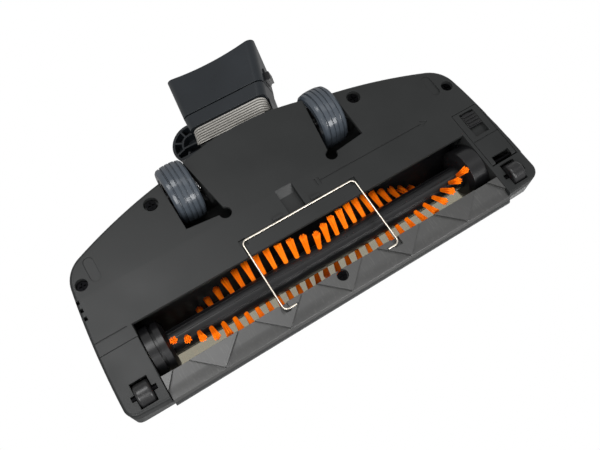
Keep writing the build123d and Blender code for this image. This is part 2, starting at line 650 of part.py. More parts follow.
# Roller: ribbed core, tufts in two helical rows that meet in a V, end pieces and pulley
with BuildPart(HEAD) as brush_core:
    with BuildSketch(side(-CORE_HALF)):
        with Locations((ROLLER_Y, ROLLER_Z)):
            Circle(CORE_R)
            with PolarLocations(CORE_R, 12):
                Rectangle(0.9, 0.7, mode=Mode.SUBTRACT)
    extrude(amount=2 * CORE_HALF)
    with Locations((0, ROLLER_Y, ROLLER_Z)):
        Cylinder(CORE_BORE_R, 2 * CORE_HALF, rotation=(0, 90, 0), mode=Mode.SUBTRACT)
brush_core.part.label = "brush_core"
export_step(brush_core.part, "parts/brush_core.step")

tuft_planes = []
for index in range(TUFTS_PER_ROW):
    tuft_x = (index - (TUFTS_PER_ROW - 1) / 2) * TUFT_PITCH
    lead = TUFT_END_DEG + TUFT_TWIST * (TUFT_END_X - abs(tuft_x))
    for turn in (radians(lead), radians(lead - 180)):
        aim = Vector(0, -sin(turn), -cos(turn))
        root = HEAD.from_local_coords(Vector(tuft_x, ROLLER_Y, ROLLER_Z)) + aim * (CORE_R - 0.4)
        tuft_planes.append(Plane(root, x_dir=(1, 0, 0), z_dir=aim))
with BuildPart() as bristle_tufts:
    with BuildSketch(*tuft_planes):
        RegularPolygon(TUFT_R, 8)
    extrude(amount=TUFT_TIP_R - CORE_R + 0.4, taper=-TUFT_FLARE_DEG)
bristle_tufts.part.label = "bristle_tufts"
export_step(bristle_tufts.part, "parts/bristle_tufts.step")

with BuildPart(HEAD) as drive_collar:
    with BuildSketch(level(ROLLER_Z)):
        Polygon(
            (CORE_HALF, ROLLER_Y), (CORE_HALF, ROLLER_Y + 12), (CORE_HALF + 1.8, ROLLER_Y + COLLAR_R - 0.4),
            (CORE_HALF + 5.4, ROLLER_Y + COLLAR_R - 0.4), (CORE_HALF + 5.4, ROLLER_Y + COLLAR_R - 1.8),
            (CORE_HALF + 7.2, ROLLER_Y + COLLAR_R - 1.8), (CORE_HALF + 7.2, ROLLER_Y + COLLAR_R),
            (SLOT_HALF - END_GAP, ROLLER_Y + COLLAR_R), (SLOT_HALF - END_GAP, ROLLER_Y + SHAFT_R),
            (SHAFT_END, ROLLER_Y + SHAFT_R), (SHAFT_END, ROLLER_Y), align=None,
        )
    revolve(axis=Axis(HEAD.from_local_coords(Vector(0, ROLLER_Y, ROLLER_Z)), (1, 0, 0)))
    with Locations((CORE_HALF, ROLLER_Y, ROLLER_Z)):
        Cylinder(CORE_BORE_R, 40, rotation=(0, 90, 0), align=(Align.CENTER, Align.CENTER, Align.MAX))
        Cylinder(2.0, 90, rotation=(0, 90, 0), mode=Mode.SUBTRACT)
drive_collar.part.label = "drive_collar"
export_step(drive_collar.part, "parts/drive_collar.step")

with BuildPart(HEAD) as idler_cap:
    with BuildSketch(level(ROLLER_Z)):
        Polygon(
            (-CORE_HALF, ROLLER_Y), (-CORE_HALF, ROLLER_Y + 12), (-CORE_HALF - 2, ROLLER_Y + COLLAR_R),
            (END_GAP - SLOT_HALF, ROLLER_Y + COLLAR_R), (END_GAP - SLOT_HALF, ROLLER_Y + SHAFT_R),
            (-SLOT_HALF - 5.8, ROLLER_Y + SHAFT_R), (-SLOT_HALF - 5.8, ROLLER_Y), align=None,
        )
    revolve(axis=Axis(HEAD.from_local_coords(Vector(0, ROLLER_Y, ROLLER_Z)), (1, 0, 0)))
    with Locations((-CORE_HALF, ROLLER_Y, ROLLER_Z)):
        Cylinder(CORE_BORE_R, 40, rotation=(0, 90, 0), align=(Align.CENTER, Align.CENTER, Align.MIN))
        Cylinder(2.0, 90, rotation=(0, 90, 0), mode=Mode.SUBTRACT)
idler_cap.part.label = "idler_cap"
export_step(idler_cap.part, "parts/idler_cap.step")

with BuildPart(HEAD) as brush_pulley:
    with BuildSketch(level(ROLLER_Z)):
        Polygon(
            (PULLEY_X[0], ROLLER_Y + SHAFT_R), (PULLEY_X[0], ROLLER_Y + BRUSH_PULLEY_R + 1.0),
            (PULLEY_X[0] + 0.7, ROLLER_Y + BRUSH_PULLEY_R), (PULLEY_X[1] - 0.7, ROLLER_Y + BRUSH_PULLEY_R),
            (PULLEY_X[1], ROLLER_Y + BRUSH_PULLEY_R + 1.0), (PULLEY_X[1], ROLLER_Y + SHAFT_R), align=None,
        )
    revolve(axis=Axis(HEAD.from_local_coords(Vector(0, ROLLER_Y, ROLLER_Z)), (1, 0, 0)))
brush_pulley.part.label = "brush_pulley"
export_step(brush_pulley.part, "parts/brush_pulley.step")

with BuildPart(HEAD) as drive_bush:
    with Locations((SLOT_HALF + 1.4, ROLLER_Y, ROLLER_Z)):
        Cylinder(BUSH_R, 3.2, rotation=(0, 90, 0))
    with Locations((SLOT_HALF + 2.6, ROLLER_Y, ROLLER_Z)):
        Cylinder(BUSH_R + 1.6, 0.8, rotation=(0, 90, 0))
        Cylinder(SHAFT_R + BORE, 12, rotation=(0, 90, 0), mode=Mode.SUBTRACT)
drive_bush.part.label = "drive_bush"
export_step(drive_bush.part, "parts/drive_bush.step")

with BuildPart(HEAD) as idler_bush:
    with Locations((-SLOT_HALF - 2.2, ROLLER_Y, ROLLER_Z)):
        Cylinder(BUSH_R, 4.8, rotation=(0, 90, 0))
    with Locations((-SLOT_HALF - 3.3, ROLLER_Y, ROLLER_Z)):
        Cylinder(BUSH_R + 1.6, 2.4, rotation=(0, 90, 0))
        Cylinder(SHAFT_R + BORE, 12, rotation=(0, 90, 0), mode=Mode.SUBTRACT)
idler_bush.part.label = "idler_bush"
export_step(idler_bush.part, "parts/idler_bush.step")

# Belt drive
with BuildPart(HEAD) as drive_belt:
    with BuildSketch(side(PULLEY_X[0] + 0.95)):
        with Locations((ROLLER_Y, ROLLER_Z)):
            Circle(BRUSH_PULLEY_R + BELT_GAP + BELT_THICK)
        with Locations((MOTOR_Y, MOTOR_Z)):
            Circle(MOTOR_PULLEY_R + BELT_GAP + BELT_THICK)
        make_hull()
    extrude(amount=PULLEY_X[1] - PULLEY_X[0] - 1.9)
    with BuildSketch(side(PULLEY_X[0])):
        with Locations((ROLLER_Y, ROLLER_Z)):
            Circle(BRUSH_PULLEY_R + BELT_GAP)
        with Locations((MOTOR_Y, MOTOR_Z)):
            Circle(MOTOR_PULLEY_R + BELT_GAP)
        make_hull()
    extrude(amount=20, mode=Mode.SUBTRACT)
drive_belt.part.label = "drive_belt"
export_step(drive_belt.part, "parts/drive_belt.step")

with BuildPart(HEAD) as motor:
    with Locations((MOTOR_X[0], MOTOR_Y, MOTOR_Z)):
        Cylinder(
            MOTOR_R, MOTOR_X[1] - MOTOR_X[0], rotation=(0, 90, 0),
            align=(Align.CENTER, Align.CENTER, Align.MIN),
        )
        Cylinder(5, 3, rotation=(0, 90, 0), align=(Align.CENTER, Align.CENTER, Align.MAX))
    fillet(motor.edges().filter_by(GeomType.CIRCLE).group_by(SortBy.RADIUS)[-1], 1.5)
    with Locations((MOTOR_X[1] + 0.5, MOTOR_Y, MOTOR_Z)):
        Cylinder(4.5, 3, rotation=(0, 90, 0))
        Cylinder(MOTOR_SHAFT_R + BORE, 30, rotation=(0, 90, 0), mode=Mode.SUBTRACT)
motor.part.label = "motor"
export_step(motor.part, "parts/motor.step")

with BuildPart(HEAD) as motor_cradle:
    with BuildSketch(side(72), side(98)):
        with Locations((MOTOR_Y, (PLATE + MOTOR_Z - 5) / 2)):
            Rectangle(29, MOTOR_Z - 5 - PLATE)
        with Locations((MOTOR_Y, MOTOR_Z)):
            Circle(MOTOR_R + 0.05, mode=Mode.SUBTRACT)
    extrude(amount=5)
    with Locations((87.5, MOTOR_Y, PLATE + 1)):
        Box(26, 18, 2)
motor_cradle.part.label = "motor_cradle"
export_step(motor_cradle.part, "parts/motor_cradle.step")

with BuildPart(HEAD) as motor_pulley:
    with BuildSketch(level(MOTOR_Z)):
        Polygon(
            (101, MOTOR_Y), (101, MOTOR_Y + MOTOR_SHAFT_R), (PULLEY_X[0], MOTOR_Y + MOTOR_SHAFT_R),
            (PULLEY_X[0], MOTOR_Y + MOTOR_PULLEY_R + 1.0), (PULLEY_X[0] + 0.7, MOTOR_Y + MOTOR_PULLEY_R),
            (PULLEY_X[1] - 0.7, MOTOR_Y + MOTOR_PULLEY_R), (PULLEY_X[1], MOTOR_Y + MOTOR_PULLEY_R + 1.0),
            (PULLEY_X[1], MOTOR_Y), align=None,
        )
    revolve(axis=Axis(HEAD.from_local_coords(Vector(0, MOTOR_Y, MOTOR_Z)), (1, 0, 0)))
motor_pulley.part.label = "motor_pulley"
export_step(motor_pulley.part, "parts/motor_pulley.step")

# Rear wheels, each with hub, tyre, fixed axle and clip
for name, hand in (("left", 1), ("right", -1)):
    axis = Axis(HEAD.from_local_coords(Vector(0, REAR_Y, REAR_Z)), (1, 0, 0))
    with BuildPart(HEAD) as rear_hub:
        with BuildSketch(level(REAR_Z)):
            Polygon(
                *[
                    (hand * x, REAR_Y + r)
                    for x, r in (
                        (41.4, REAR_AXLE_R + BORE), (41.4, 4.4), (44.4, 4.4), (44.4, 10.6), (43.4, 10.6),
                        (43.4, HUB_R), (59.6, HUB_R), (59.6, 10.6), (58.4, 10.6), (58.4, 4.4),
                        (61.1, 4.4), (61.1, REAR_AXLE_R + BORE),
                    )
                ],
                align=None,
            )
        revolve(axis=axis)
        for spoke in range(5):
            with Locations(Location((hand * 43.4, REAR_Y, REAR_Z), (spoke * 72, 0, 0))):
                with Locations((0, 0, 7.5)):
                    Box(2.4, 1.6, 6.6)
    rear_hub.part.label = f"rear_hub_{name}"
    export_step(rear_hub.part, f"parts/rear_hub_{name}.step")

    with BuildPart(HEAD) as rear_tyre:
        with BuildSketch(level(REAR_Z)):
            half = (REAR_X[1] - REAR_X[0]) / 2
            tread = [
                (half, HUB_R), (half, REAR_R - 2.2), (half - 1.2, REAR_R - 0.9), (half - 3.0, REAR_R - 0.5),
                (half - 3.3, REAR_R - 1.3), (half - 3.8, REAR_R - 1.3), (half - 4.1, REAR_R - 0.2),
                (1.9, REAR_R), (1.7, REAR_R - 0.7), (1.2, REAR_R - 0.7), (1.0, REAR_R),
            ]
            mirrored = [(-x, r) for x, r in reversed(tread)]
            Polygon(*[(hand * WHEEL_MID + x, REAR_Y + r) for x, r in tread + mirrored], align=None)
        revolve(axis=axis)
    rear_tyre.part.label = f"rear_tyre_{name}"
    export_step(rear_tyre.part, f"parts/rear_tyre_{name}.step")

    with BuildPart(HEAD) as rear_axle:
        with Locations((hand * 49.8, REAR_Y, REAR_Z)):
            Cylinder(REAR_AXLE_R, 28.6, rotation=(0, 90, 0))
        with Locations((hand * 40.5, REAR_Y, REAR_Z)):
            Cylinder(REAR_AXLE_R + 1, 0.8, rotation=(0, 90, 0), mode=Mode.SUBTRACT)
            Cylinder(2.0, 0.8, rotation=(0, 90, 0))
    rear_axle.part.label = f"rear_axle_{name}"
    export_step(rear_axle.part, f"parts/rear_axle_{name}.step")

    with BuildPart(HEAD) as front_wheel:
        with Locations((hand * (CASTOR_X[0] + CASTOR_X[1]) / 2, CASTOR_Y, CASTOR_Z)):
            Cylinder(CASTOR_R, CASTOR_X[1] - CASTOR_X[0], rotation=(0, 90, 0))
        fillet(front_wheel.edges(), 1.6)
        with Locations((hand * (CASTOR_X[0] + CASTOR_X[1]) / 2, CASTOR_Y, CASTOR_Z)):
            Cylinder(CASTOR_AXLE_R + BORE, 20, rotation=(0, 90, 0), mode=Mode.SUBTRACT)
    front_wheel.part.label = f"front_wheel_{name}"
    export_step(front_wheel.part, f"parts/front_wheel_{name}.step")

    with BuildPart(HEAD) as front_axle:
        with Locations((hand * (CASTOR_X[0] + CASTOR_X[1]) / 2, CASTOR_Y, CASTOR_Z)):
            Cylinder(CASTOR_AXLE_R, 14.4, rotation=(0, 90, 0))
    front_axle.part.label = f"front_axle_{name}"
    export_step(front_axle.part, f"parts/front_axle_{name}.step")

with BuildPart(HEAD) as axle_clips:
    with BuildSketch(side(40.1), side(-40.9)):
        with Locations((REAR_Y, REAR_Z)):
            Circle(4.6)
            Circle(2.05, mode=Mode.SUBTRACT)
            with Locations((0, 4)):
                Rectangle(3.0, 8, mode=Mode.SUBTRACT)
    extrude(amount=0.8)
axle_clips.part.label = "axle_clips"
export_step(axle_clips.part, "parts/axle_clips.step")

# Wire guard across the slot
with BuildPart(HEAD) as wire_guard:
    with BuildLine(HEAD) as guard_path:
        FilletPolyline(
            (GUARD_END, GUARD_HINGE_Y), (GUARD_HALF, GUARD_HINGE_Y), (GUARD_HALF, GUARD_REAR_Y),
            (-GUARD_HALF, GUARD_REAR_Y), (-GUARD_HALF, GUARD_HINGE_Y), (-GUARD_END, GUARD_HINGE_Y),
            radius=GUARD_BEND,
        )
    with BuildSketch(guard_path.line ^ 0):
        Circle(WIRE_R)
    sweep()
wire_guard.part.label = "wire_guard"
export_step(wire_guard.part, "parts/wire_guard.step")

# Latch door, its pin and the ribbed slide
with BuildPart(HEAD) as latch_door:
    with BuildSketch(side(DOOR_X[0])):
        with Locations((DOOR_Y[0], KNUCKLE_R)):
            Circle(KNUCKLE_R)
        Polygon((DOOR_Y[0], 0), (DOOR_Y[1], 0), (DOOR_Y[1], DOOR_PLATE), (DOOR_Y[0], DOOR_PLATE), align=None)
        Polygon((30, 0), (DOOR_Y[1], 0), (DOOR_Y[1], 3.7), (30, 3.7), align=None)
    extrude(amount=DOOR_X[1] - DOOR_X[0])
    with Locations((DOOR_MID, DOOR_Y[0] + 0.4, 2)):
        Box(12.6, 6, 8, mode=Mode.SUBTRACT)
    with Locations((DOOR_MID, DOOR_Y[0] + 16.8, 0)):
        Box(DOOR_X[1] - DOOR_X[0], 0.7, 1.0, mode=Mode.SUBTRACT)
    with Locations((DOOR_MID, (SLIDER_Y[0] - 6.75 + SLIDER_Y[1] + SLIDER_PLAY) / 2, 0)):
        Box(SLIDER_W + 0.7, SLIDER_Y[1] - SLIDER_Y[0] + 6.75 + SLIDER_PLAY, 5.2, mode=Mode.SUBTRACT)
    with Locations((DOOR_MID, DOOR_Y[1] - 1.0, TONGUE_Z)):
        Box(5.8, 4, 1.3, mode=Mode.SUBTRACT)
    with Locations((DOOR_MID, DOOR_Y[0], KNUCKLE_R)):
        Cylinder(PIN_R + BORE, 40, rotation=(0, 90, 0), mode=Mode.SUBTRACT)
latch_door.part.label = "latch_door"
export_step(latch_door.part, "parts/latch_door.step")

with BuildPart(HEAD) as latch_pin:
    with Locations((DOOR_MID, DOOR_Y[0], KNUCKLE_R)):
        Cylinder(PIN_R, PIN_L, rotation=(0, 90, 0))
latch_pin.part.label = "latch_pin"
export_step(latch_pin.part, "parts/latch_pin.step")

with BuildPart(HEAD) as latch_slider:
    with Locations((DOOR_MID, (SLIDER_Y[0] + SLIDER_Y[1]) / 2, 1.1)):
        Box(SLIDER_W, SLIDER_Y[1] - SLIDER_Y[0], 2.4)
    with Locations((DOOR_MID, (SLIDER_Y[1] - 0.4 + TONGUE_TIP) / 2, TONGUE_Z)):
        Box(5.2, TONGUE_TIP - SLIDER_Y[1] + 0.4, 0.8)
    with Locations(*[(DOOR_MID, SLIDER_Y[0] + 1.4 + 2.2 * rib, -0.4) for rib in range(4)]):
        Box(SLIDER_W - 0.9, 1.1, 1.0)
latch_slider.part.label = "latch_slider"
export_step(latch_slider.part, "parts/latch_slider.step")

# Neck frames
SWIVEL = Plane(HEAD.from_local_coords(Vector(*PIVOT)), x_dir=(1, 0, 0), z_dir=SWIVEL_DIR)
TURNED = Plane(SWIVEL.location * Location((0, 0, 0), (0, 0, SWIVEL_REST_DEG)))
NECK_BEND = radians(NECK_BEND_DEG)
NECK = Plane(
    TURNED.from_local_coords(Vector(0, 0, NECK_REACH)),
    x_dir=TURNED.x_dir,
    z_dir=TURNED.z_dir * -sin(NECK_BEND) - TURNED.y_dir * cos(NECK_BEND),
)


def across(y):
    """Plane across the neck at y; its own x runs across the neck and its own y runs up."""
    return Plane(NECK.from_local_coords(Vector(0, y, 0)), x_dir=NECK.x_dir, z_dir=-NECK.y_dir)


def along(x):
    """Plane along the neck at x; its own x runs to the mouth and its own y runs up."""
    return Plane(NECK.from_local_coords(Vector(x, 0, 0)), x_dir=NECK.y_dir, z_dir=NECK.x_dir)


def hood_plan(radius):
    """Plan of the hood over the bellows: straight on one side, a round lobe on the other."""
    inner = HOOD_LOBE_R - radius
    with BuildSketch(Plane.XY) as plan:
        with Locations((HOOD_LOBE_X, HOOD_LOBE_Y)):
            Circle(radius)
        with Locations((HOOD_LOBE_X / 2 - BAND_W[0] / 4 + inner / 2, HOOD_LOBE_Y)):
            Rectangle(HOOD_LOBE_X + BAND_W[0] / 2 - inner, 2 * radius)
        with Locations((0, HOOD_LOBE_Y - 29 + inner)):
            Rectangle(200, 40, mode=Mode.SUBTRACT)
    return plan.sketch


# Yoke: ring on two trunnions that tilt in the ears
with BuildPart() as tilt_yoke:
    with BuildSketch(SWIVEL.offset(-YOKE_HALF)):
        Circle(YOKE_R)
    extrude(amount=2 * YOKE_HALF)
    with BuildSketch(side(-EAR_X[1] - 0.5)):
        with Locations((PIVOT[1], PIVOT[2])):
            Circle(TRUNNION_R)
    extrude(amount=2 * EAR_X[1] + 1.0)
    with BuildSketch(SWIVEL.offset(-YOKE_HALF - 5)):
        Circle(YOKE_BORE_R)
    extrude(amount=2 * YOKE_HALF + 10, mode=Mode.SUBTRACT)
tilt_yoke.part.label = "tilt_yoke"
export_step(tilt_yoke.part, "parts/tilt_yoke.step")

with BuildPart() as swivel_ring:
    with BuildSketch(SWIVEL.offset(-YOKE_HALF - 1.8)):
        Circle(16.4)
        Circle(SPIGOT_R, mode=Mode.SUBTRACT)
    extrude(amount=1.5)
swivel_ring.part.label = "swivel_ring"
export_step(swivel_ring.part, "parts/swivel_ring.step")

# Collar: spigot, flange, band round the bellows and the ribbed hood on top
with BuildPart() as neck_collar:
    # Hood over the bellows with a round, ribbed lobe on one side, open below
    with BuildSketch(NECK.offset(10)):
        add(hood_plan(HOOD_LOBE_R))
    extrude(amount=NECK_H + 2 - 10)
    with BuildSketch(NECK.offset(9)):
        add(hood_plan(HOOD_LOBE_R - HOOD_WALL))
        add(hood_plan(HOOD_LOBE_R - 7.0), mode=Mode.SUBTRACT)
    extrude(amount=NECK_H - 9, mode=Mode.SUBTRACT)
    with BuildSketch(NECK.offset(9)):
        add(hood_plan(HOOD_LOBE_R - 8.2))
    extrude(amount=NECK_H - 9, mode=Mode.SUBTRACT)
    for turn in (-60, -18, 24, 66):
        with Locations(NECK * Location((HOOD_LOBE_X, HOOD_LOBE_Y, 19), (0, 0, turn))):
            with Locations((HOOD_LOBE_R - 4.6, 0, 0)):
                Box(6.6, 1.2, 18)
    # Beside the neck the lobe is low, so that it passes over the wheel
    with Locations(NECK * Location((LOBE_STEP_X, HOOD_LOBE_Y, LOBE_TOP))):
        Box(40, 60, 40, align=(Align.MIN, Align.CENTER, Align.MIN), mode=Mode.SUBTRACT)
    with BuildSketch(NECK.offset(LOBE_TOP - HOOD_WALL)):
        add(hood_plan(HOOD_LOBE_R))
        with Locations((LOBE_STEP_X - HOOD_WALL, HOOD_LOBE_Y)):
            Rectangle(40, 60, align=(Align.MIN, Align.CENTER), mode=Mode.INTERSECT)
    extrude(amount=HOOD_WALL)
    with BuildSketch(NECK.offset(LOBE_TOP - HOOD_WALL)):
        add(hood_plan(HOOD_LOBE_R))
        with Locations((LOBE_STEP_X - HOOD_WALL, HOOD_LOBE_Y)):
            Rectangle(HOOD_WALL, 60, align=(Align.MIN, Align.CENTER), mode=Mode.INTERSECT)
    extrude(amount=NECK_H + 2 - LOBE_TOP + HOOD_WALL)
    with Locations(NECK * Location((0, -15, 11))):
        Box(BELLOWS_W + 2, 30, 2 * (NECK_H / 2 + BELLOWS_H / 2 + 0.3 - 11), mode=Mode.SUBTRACT)
    with BuildSketch(SWIVEL.offset(-40)):
        Circle(26.5)
    extrude(amount=48.5, mode=Mode.SUBTRACT)
    # Band
    with BuildSketch(across(0)):
        add(rounded_slab(BAND_W[0], NECK_H, NECK_CORNER))
    with BuildSketch(across(BAND_L)):
        add(rounded_slab(BAND_W[1], NECK_H, NECK_CORNER))
    loft()
    with BuildSketch(across(-14)):
        with Locations((0, NECK_H / 2)):
            RectangleRounded(BAND_W[0] - 2 * NECK_WALL, NECK_H - 2 * NECK_WALL, NECK_CORNER - NECK_WALL)
    extrude(amount=-40, mode=Mode.SUBTRACT)
    # Clearance for the yoke and the ears
    with BuildSketch(SWIVEL.offset(-40)):
        Circle(26.5)
    extrude(amount=44.3, mode=Mode.SUBTRACT)
    # Flange with its upper lobe into the band, and spigot
    with BuildSketch(TURNED.offset(4.3)):
        Circle(26)
        Polygon((0, 0), (-27, -32), (27, -32), align=None, mode=Mode.INTERSECT)
        Circle(16.4)
    extrude(amount=2.2)
    with BuildSketch(SWIVEL.offset(-YOKE_HALF - 2)):
        Circle(SPIGOT_R)
    extrude(amount=YOKE_HALF + 2 + 5)
    with BuildSketch(SWIVEL.offset(-20)):
        Circle(SPIGOT_BORE_R)
    extrude(amount=30, mode=Mode.SUBTRACT)
neck_collar.part.label = "neck_collar"
export_step(neck_collar.part, "parts/neck_collar.step")

# Bellows between the flange and the band
with BuildPart() as bellows:
    for rib in range(BELLOWS_RIBS):
        start = -0.05 - rib * BELLOWS_PITCH
        with BuildSketch(across(start)):
            with Locations((0, NECK_H / 2)):
                RectangleRounded(BELLOWS_W - 2 * BELLOWS_FOLD, BELLOWS_H - 2 * BELLOWS_FOLD, NECK_CORNER - 1)
        extrude(amount=BELLOWS_PITCH)
        with BuildSketch(across(start - 0.45)):
            with Locations((0, NECK_H / 2)):
                RectangleRounded(BELLOWS_W, BELLOWS_H, NECK_CORNER)
        extrude(amount=BELLOWS_PITCH - 0.9)
    with BuildSketch(across(5)):
        with Locations((0, NECK_H / 2)):
            bore = 2 * (BELLOWS_FOLD + BELLOWS_WALL)
            RectangleRounded(BELLOWS_W - bore, BELLOWS_H - bore, NECK_CORNER - 2)
    extrude(amount=40, mode=Mode.SUBTRACT)
    with BuildSketch(SWIVEL.offset(BELLOWS_CUT)):
        Rectangle(200, 200)
    extrude(amount=-80, mode=Mode.SUBTRACT)
bellows.part.label = "bellows"
export_step(bellows.part, "parts/bellows.step")

# Connector with its flared, hollow-cut mouth
with BuildPart() as neck_connector:
    with BuildSketch(across(TUBE_START)):
        add(rounded_slab(TUBE_W[0], NECK_H, NECK_CORNER))
    with BuildSketch(across(TUBE_END + 2)):
        add(rounded_slab(TUBE_W[1], NECK_H, NECK_CORNER))
    loft()
    with BuildSketch(across(TUBE_START - 1)):
        with Locations((0, NECK_H / 2)):
            RectangleRounded(
                TUBE_W[0] - 2 * NECK_WALL, NECK_H - 2 * NECK_WALL, NECK_CORNER - NECK_WALL
            )
    extrude(amount=-60, mode=Mode.SUBTRACT)
    with BuildSketch(along(-60)):
        Polygon((TUBE_END + 0.5, 5), (TUBE_END - 21, NECK_H + 0.2), (TUBE_END - 21, 40), (80, 40), (80, 5), align=None)
    extrude(amount=120, mode=Mode.SUBTRACT)
    with BuildSketch(NECK.offset(-5)):
        with BuildLine():
            mouth = ThreePointArc((-40, TUBE_END + 1.6), (0, TUBE_END - 3), (40, TUBE_END + 1.6))
            Polyline(mouth @ 1, (40, 70), (-40, 70), mouth @ 0)
        make_face()
    extrude(amount=50, mode=Mode.SUBTRACT)
    with Locations(NECK * Location((CATCH_X, CATCH_Y, NECK_H / 2))):
        Box(12, 10.2, 9.2, mode=Mode.SUBTRACT)
neck_connector.part.label = "neck_connector"
export_step(neck_connector.part, "parts/neck_connector.step")

# Sprung catch in the connector's side
with BuildPart() as neck_catch:
    with Locations(NECK * Location((CATCH_X + 2.4, CATCH_Y, NECK_H / 2))):
        Box(5.6, 9.4, 8.4)
    with Locations(NECK * Location((CATCH_X - 1.2, CATCH_Y - 1.3, NECK_H / 2))):
        Box(2.6, 6.0, 7.0)
    with Locations(NECK * Location((CATCH_X + 5.2, CATCH_Y, NECK_H / 2))):
        Box(1.4, 12.6, 11.2)
neck_catch.part.label = "neck_catch"
export_step(neck_catch.part, "parts/neck_catch.step")
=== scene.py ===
import json
import logging
import math
import random
from dataclasses import dataclass, field
from enum import Enum
from typing import Any

import bmesh
import bpy
from mathutils import Matrix, Vector


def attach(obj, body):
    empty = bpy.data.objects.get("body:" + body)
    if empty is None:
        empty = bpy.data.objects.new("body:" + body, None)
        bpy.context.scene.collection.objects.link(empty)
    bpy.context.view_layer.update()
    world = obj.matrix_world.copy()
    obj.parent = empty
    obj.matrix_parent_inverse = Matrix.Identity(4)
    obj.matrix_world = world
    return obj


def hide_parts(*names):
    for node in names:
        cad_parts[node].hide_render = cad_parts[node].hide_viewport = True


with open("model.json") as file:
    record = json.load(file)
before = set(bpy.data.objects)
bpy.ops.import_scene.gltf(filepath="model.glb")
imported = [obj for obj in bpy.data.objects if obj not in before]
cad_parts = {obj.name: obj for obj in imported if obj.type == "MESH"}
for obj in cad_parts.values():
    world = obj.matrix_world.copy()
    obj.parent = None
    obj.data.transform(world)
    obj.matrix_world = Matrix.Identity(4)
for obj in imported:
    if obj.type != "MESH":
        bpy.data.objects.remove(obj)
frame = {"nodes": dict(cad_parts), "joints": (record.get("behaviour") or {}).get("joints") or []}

log = logging.getLogger("floor_head")

MM = 0.001
# Roller axis seen from the CAD source's datum, the lip screw on the underside (mm)
ROLLER = (0.0, 20.6, 16.0)
# Share of the relief's slope that the shading takes
RELIEF_STRENGTH = 0.35
# Streaks of wear: real ones are about 0.2 mm wide, drawn at 0.7 mm to show, ten times as long fore and aft
STREAK_MM = 0.7
STREAK_STRETCH = 0.1
STREAK_COLOUR = "#8a8986"
# Upward part of the normal below which a face is a wall and above which it is flat
WALL_TILT = 0.2
FLAT_TILT = 0.6
# Refractive index of the clear window and the share of light that goes through smoky and milky bodies
WINDOW_IOR = 1.45
SMOKY_SHARE = 0.5
MILKY_SHARE = 0.45
# Turn from one filament of a bundle to the next, which spreads them evenly over a disc (radians)
GOLDEN_ANGLE = 2.39996

Point = tuple[float, float, float]
Colour = tuple[float, float, float, float]


def linear(code: str) -> Colour:
    """Turns an sRGB hex colour into the linear colour that Blender's sockets take.

    Args:
        code: Colour as "#rrggbb".

    Returns:
        Linear red, green, blue and an alpha of one.
    """
    parts = [int(code[i : i + 2], 16) / 255 for i in (1, 3, 5)]
    curve = [c / 12.92 if c <= 0.04045 else ((c + 0.055) / 1.055) ** 2.4 for c in parts]
    return (curve[0], curve[1], curve[2], 1.0)


def put(
    tree: bpy.types.NodeTree,
    kind: str,
    settings: dict[str, Any] | None = None,
    links: dict[str, Any] | None = None,
) -> bpy.types.Node:
    """Adds a node, sets its own settings and wires its inputs.

    Args:
        tree: Node tree that takes the node.
        kind: Blender's type name of the node.
        settings: Properties of the node itself.
        links: For each input, by name or index, a constant or the output socket to link.

    Returns:
        The new node.
    """
    node = tree.nodes.new(kind)
    for name, value in (settings or {}).items():
        setattr(node, name, value)
    for name, value in (links or {}).items():
        if isinstance(value, bpy.types.NodeSocket):
            tree.links.new(value, node.inputs[name])
        else:
            node.inputs[name].default_value = value
    return node


def joint(name: str) -> Vector:
    """Pivot of a joint in the row frame, in metres."""
    return Vector(next(entry for entry in frame["joints"] if entry["name"] == name)["pos_m"])


def datum(x: float, y: float, z: float) -> Vector:
    """Row-frame point in metres of a point measured from the CAD datum in millimetres."""
    return joint("brush_spin") + (Vector((x, y, z)) - Vector(ROLLER)) * MM


class Texture(Enum):
    """How a surface is broken up at close range."""

    SMOOTH = "smooth"
    GRAINED = "grained"
    DRAWN = "drawn"


class Body(Enum):
    """What light does below the surface."""

    OPAQUE = "opaque"
    CLEAR = "clear"
    SMOKY = "smoky"
    MILKY = "milky"


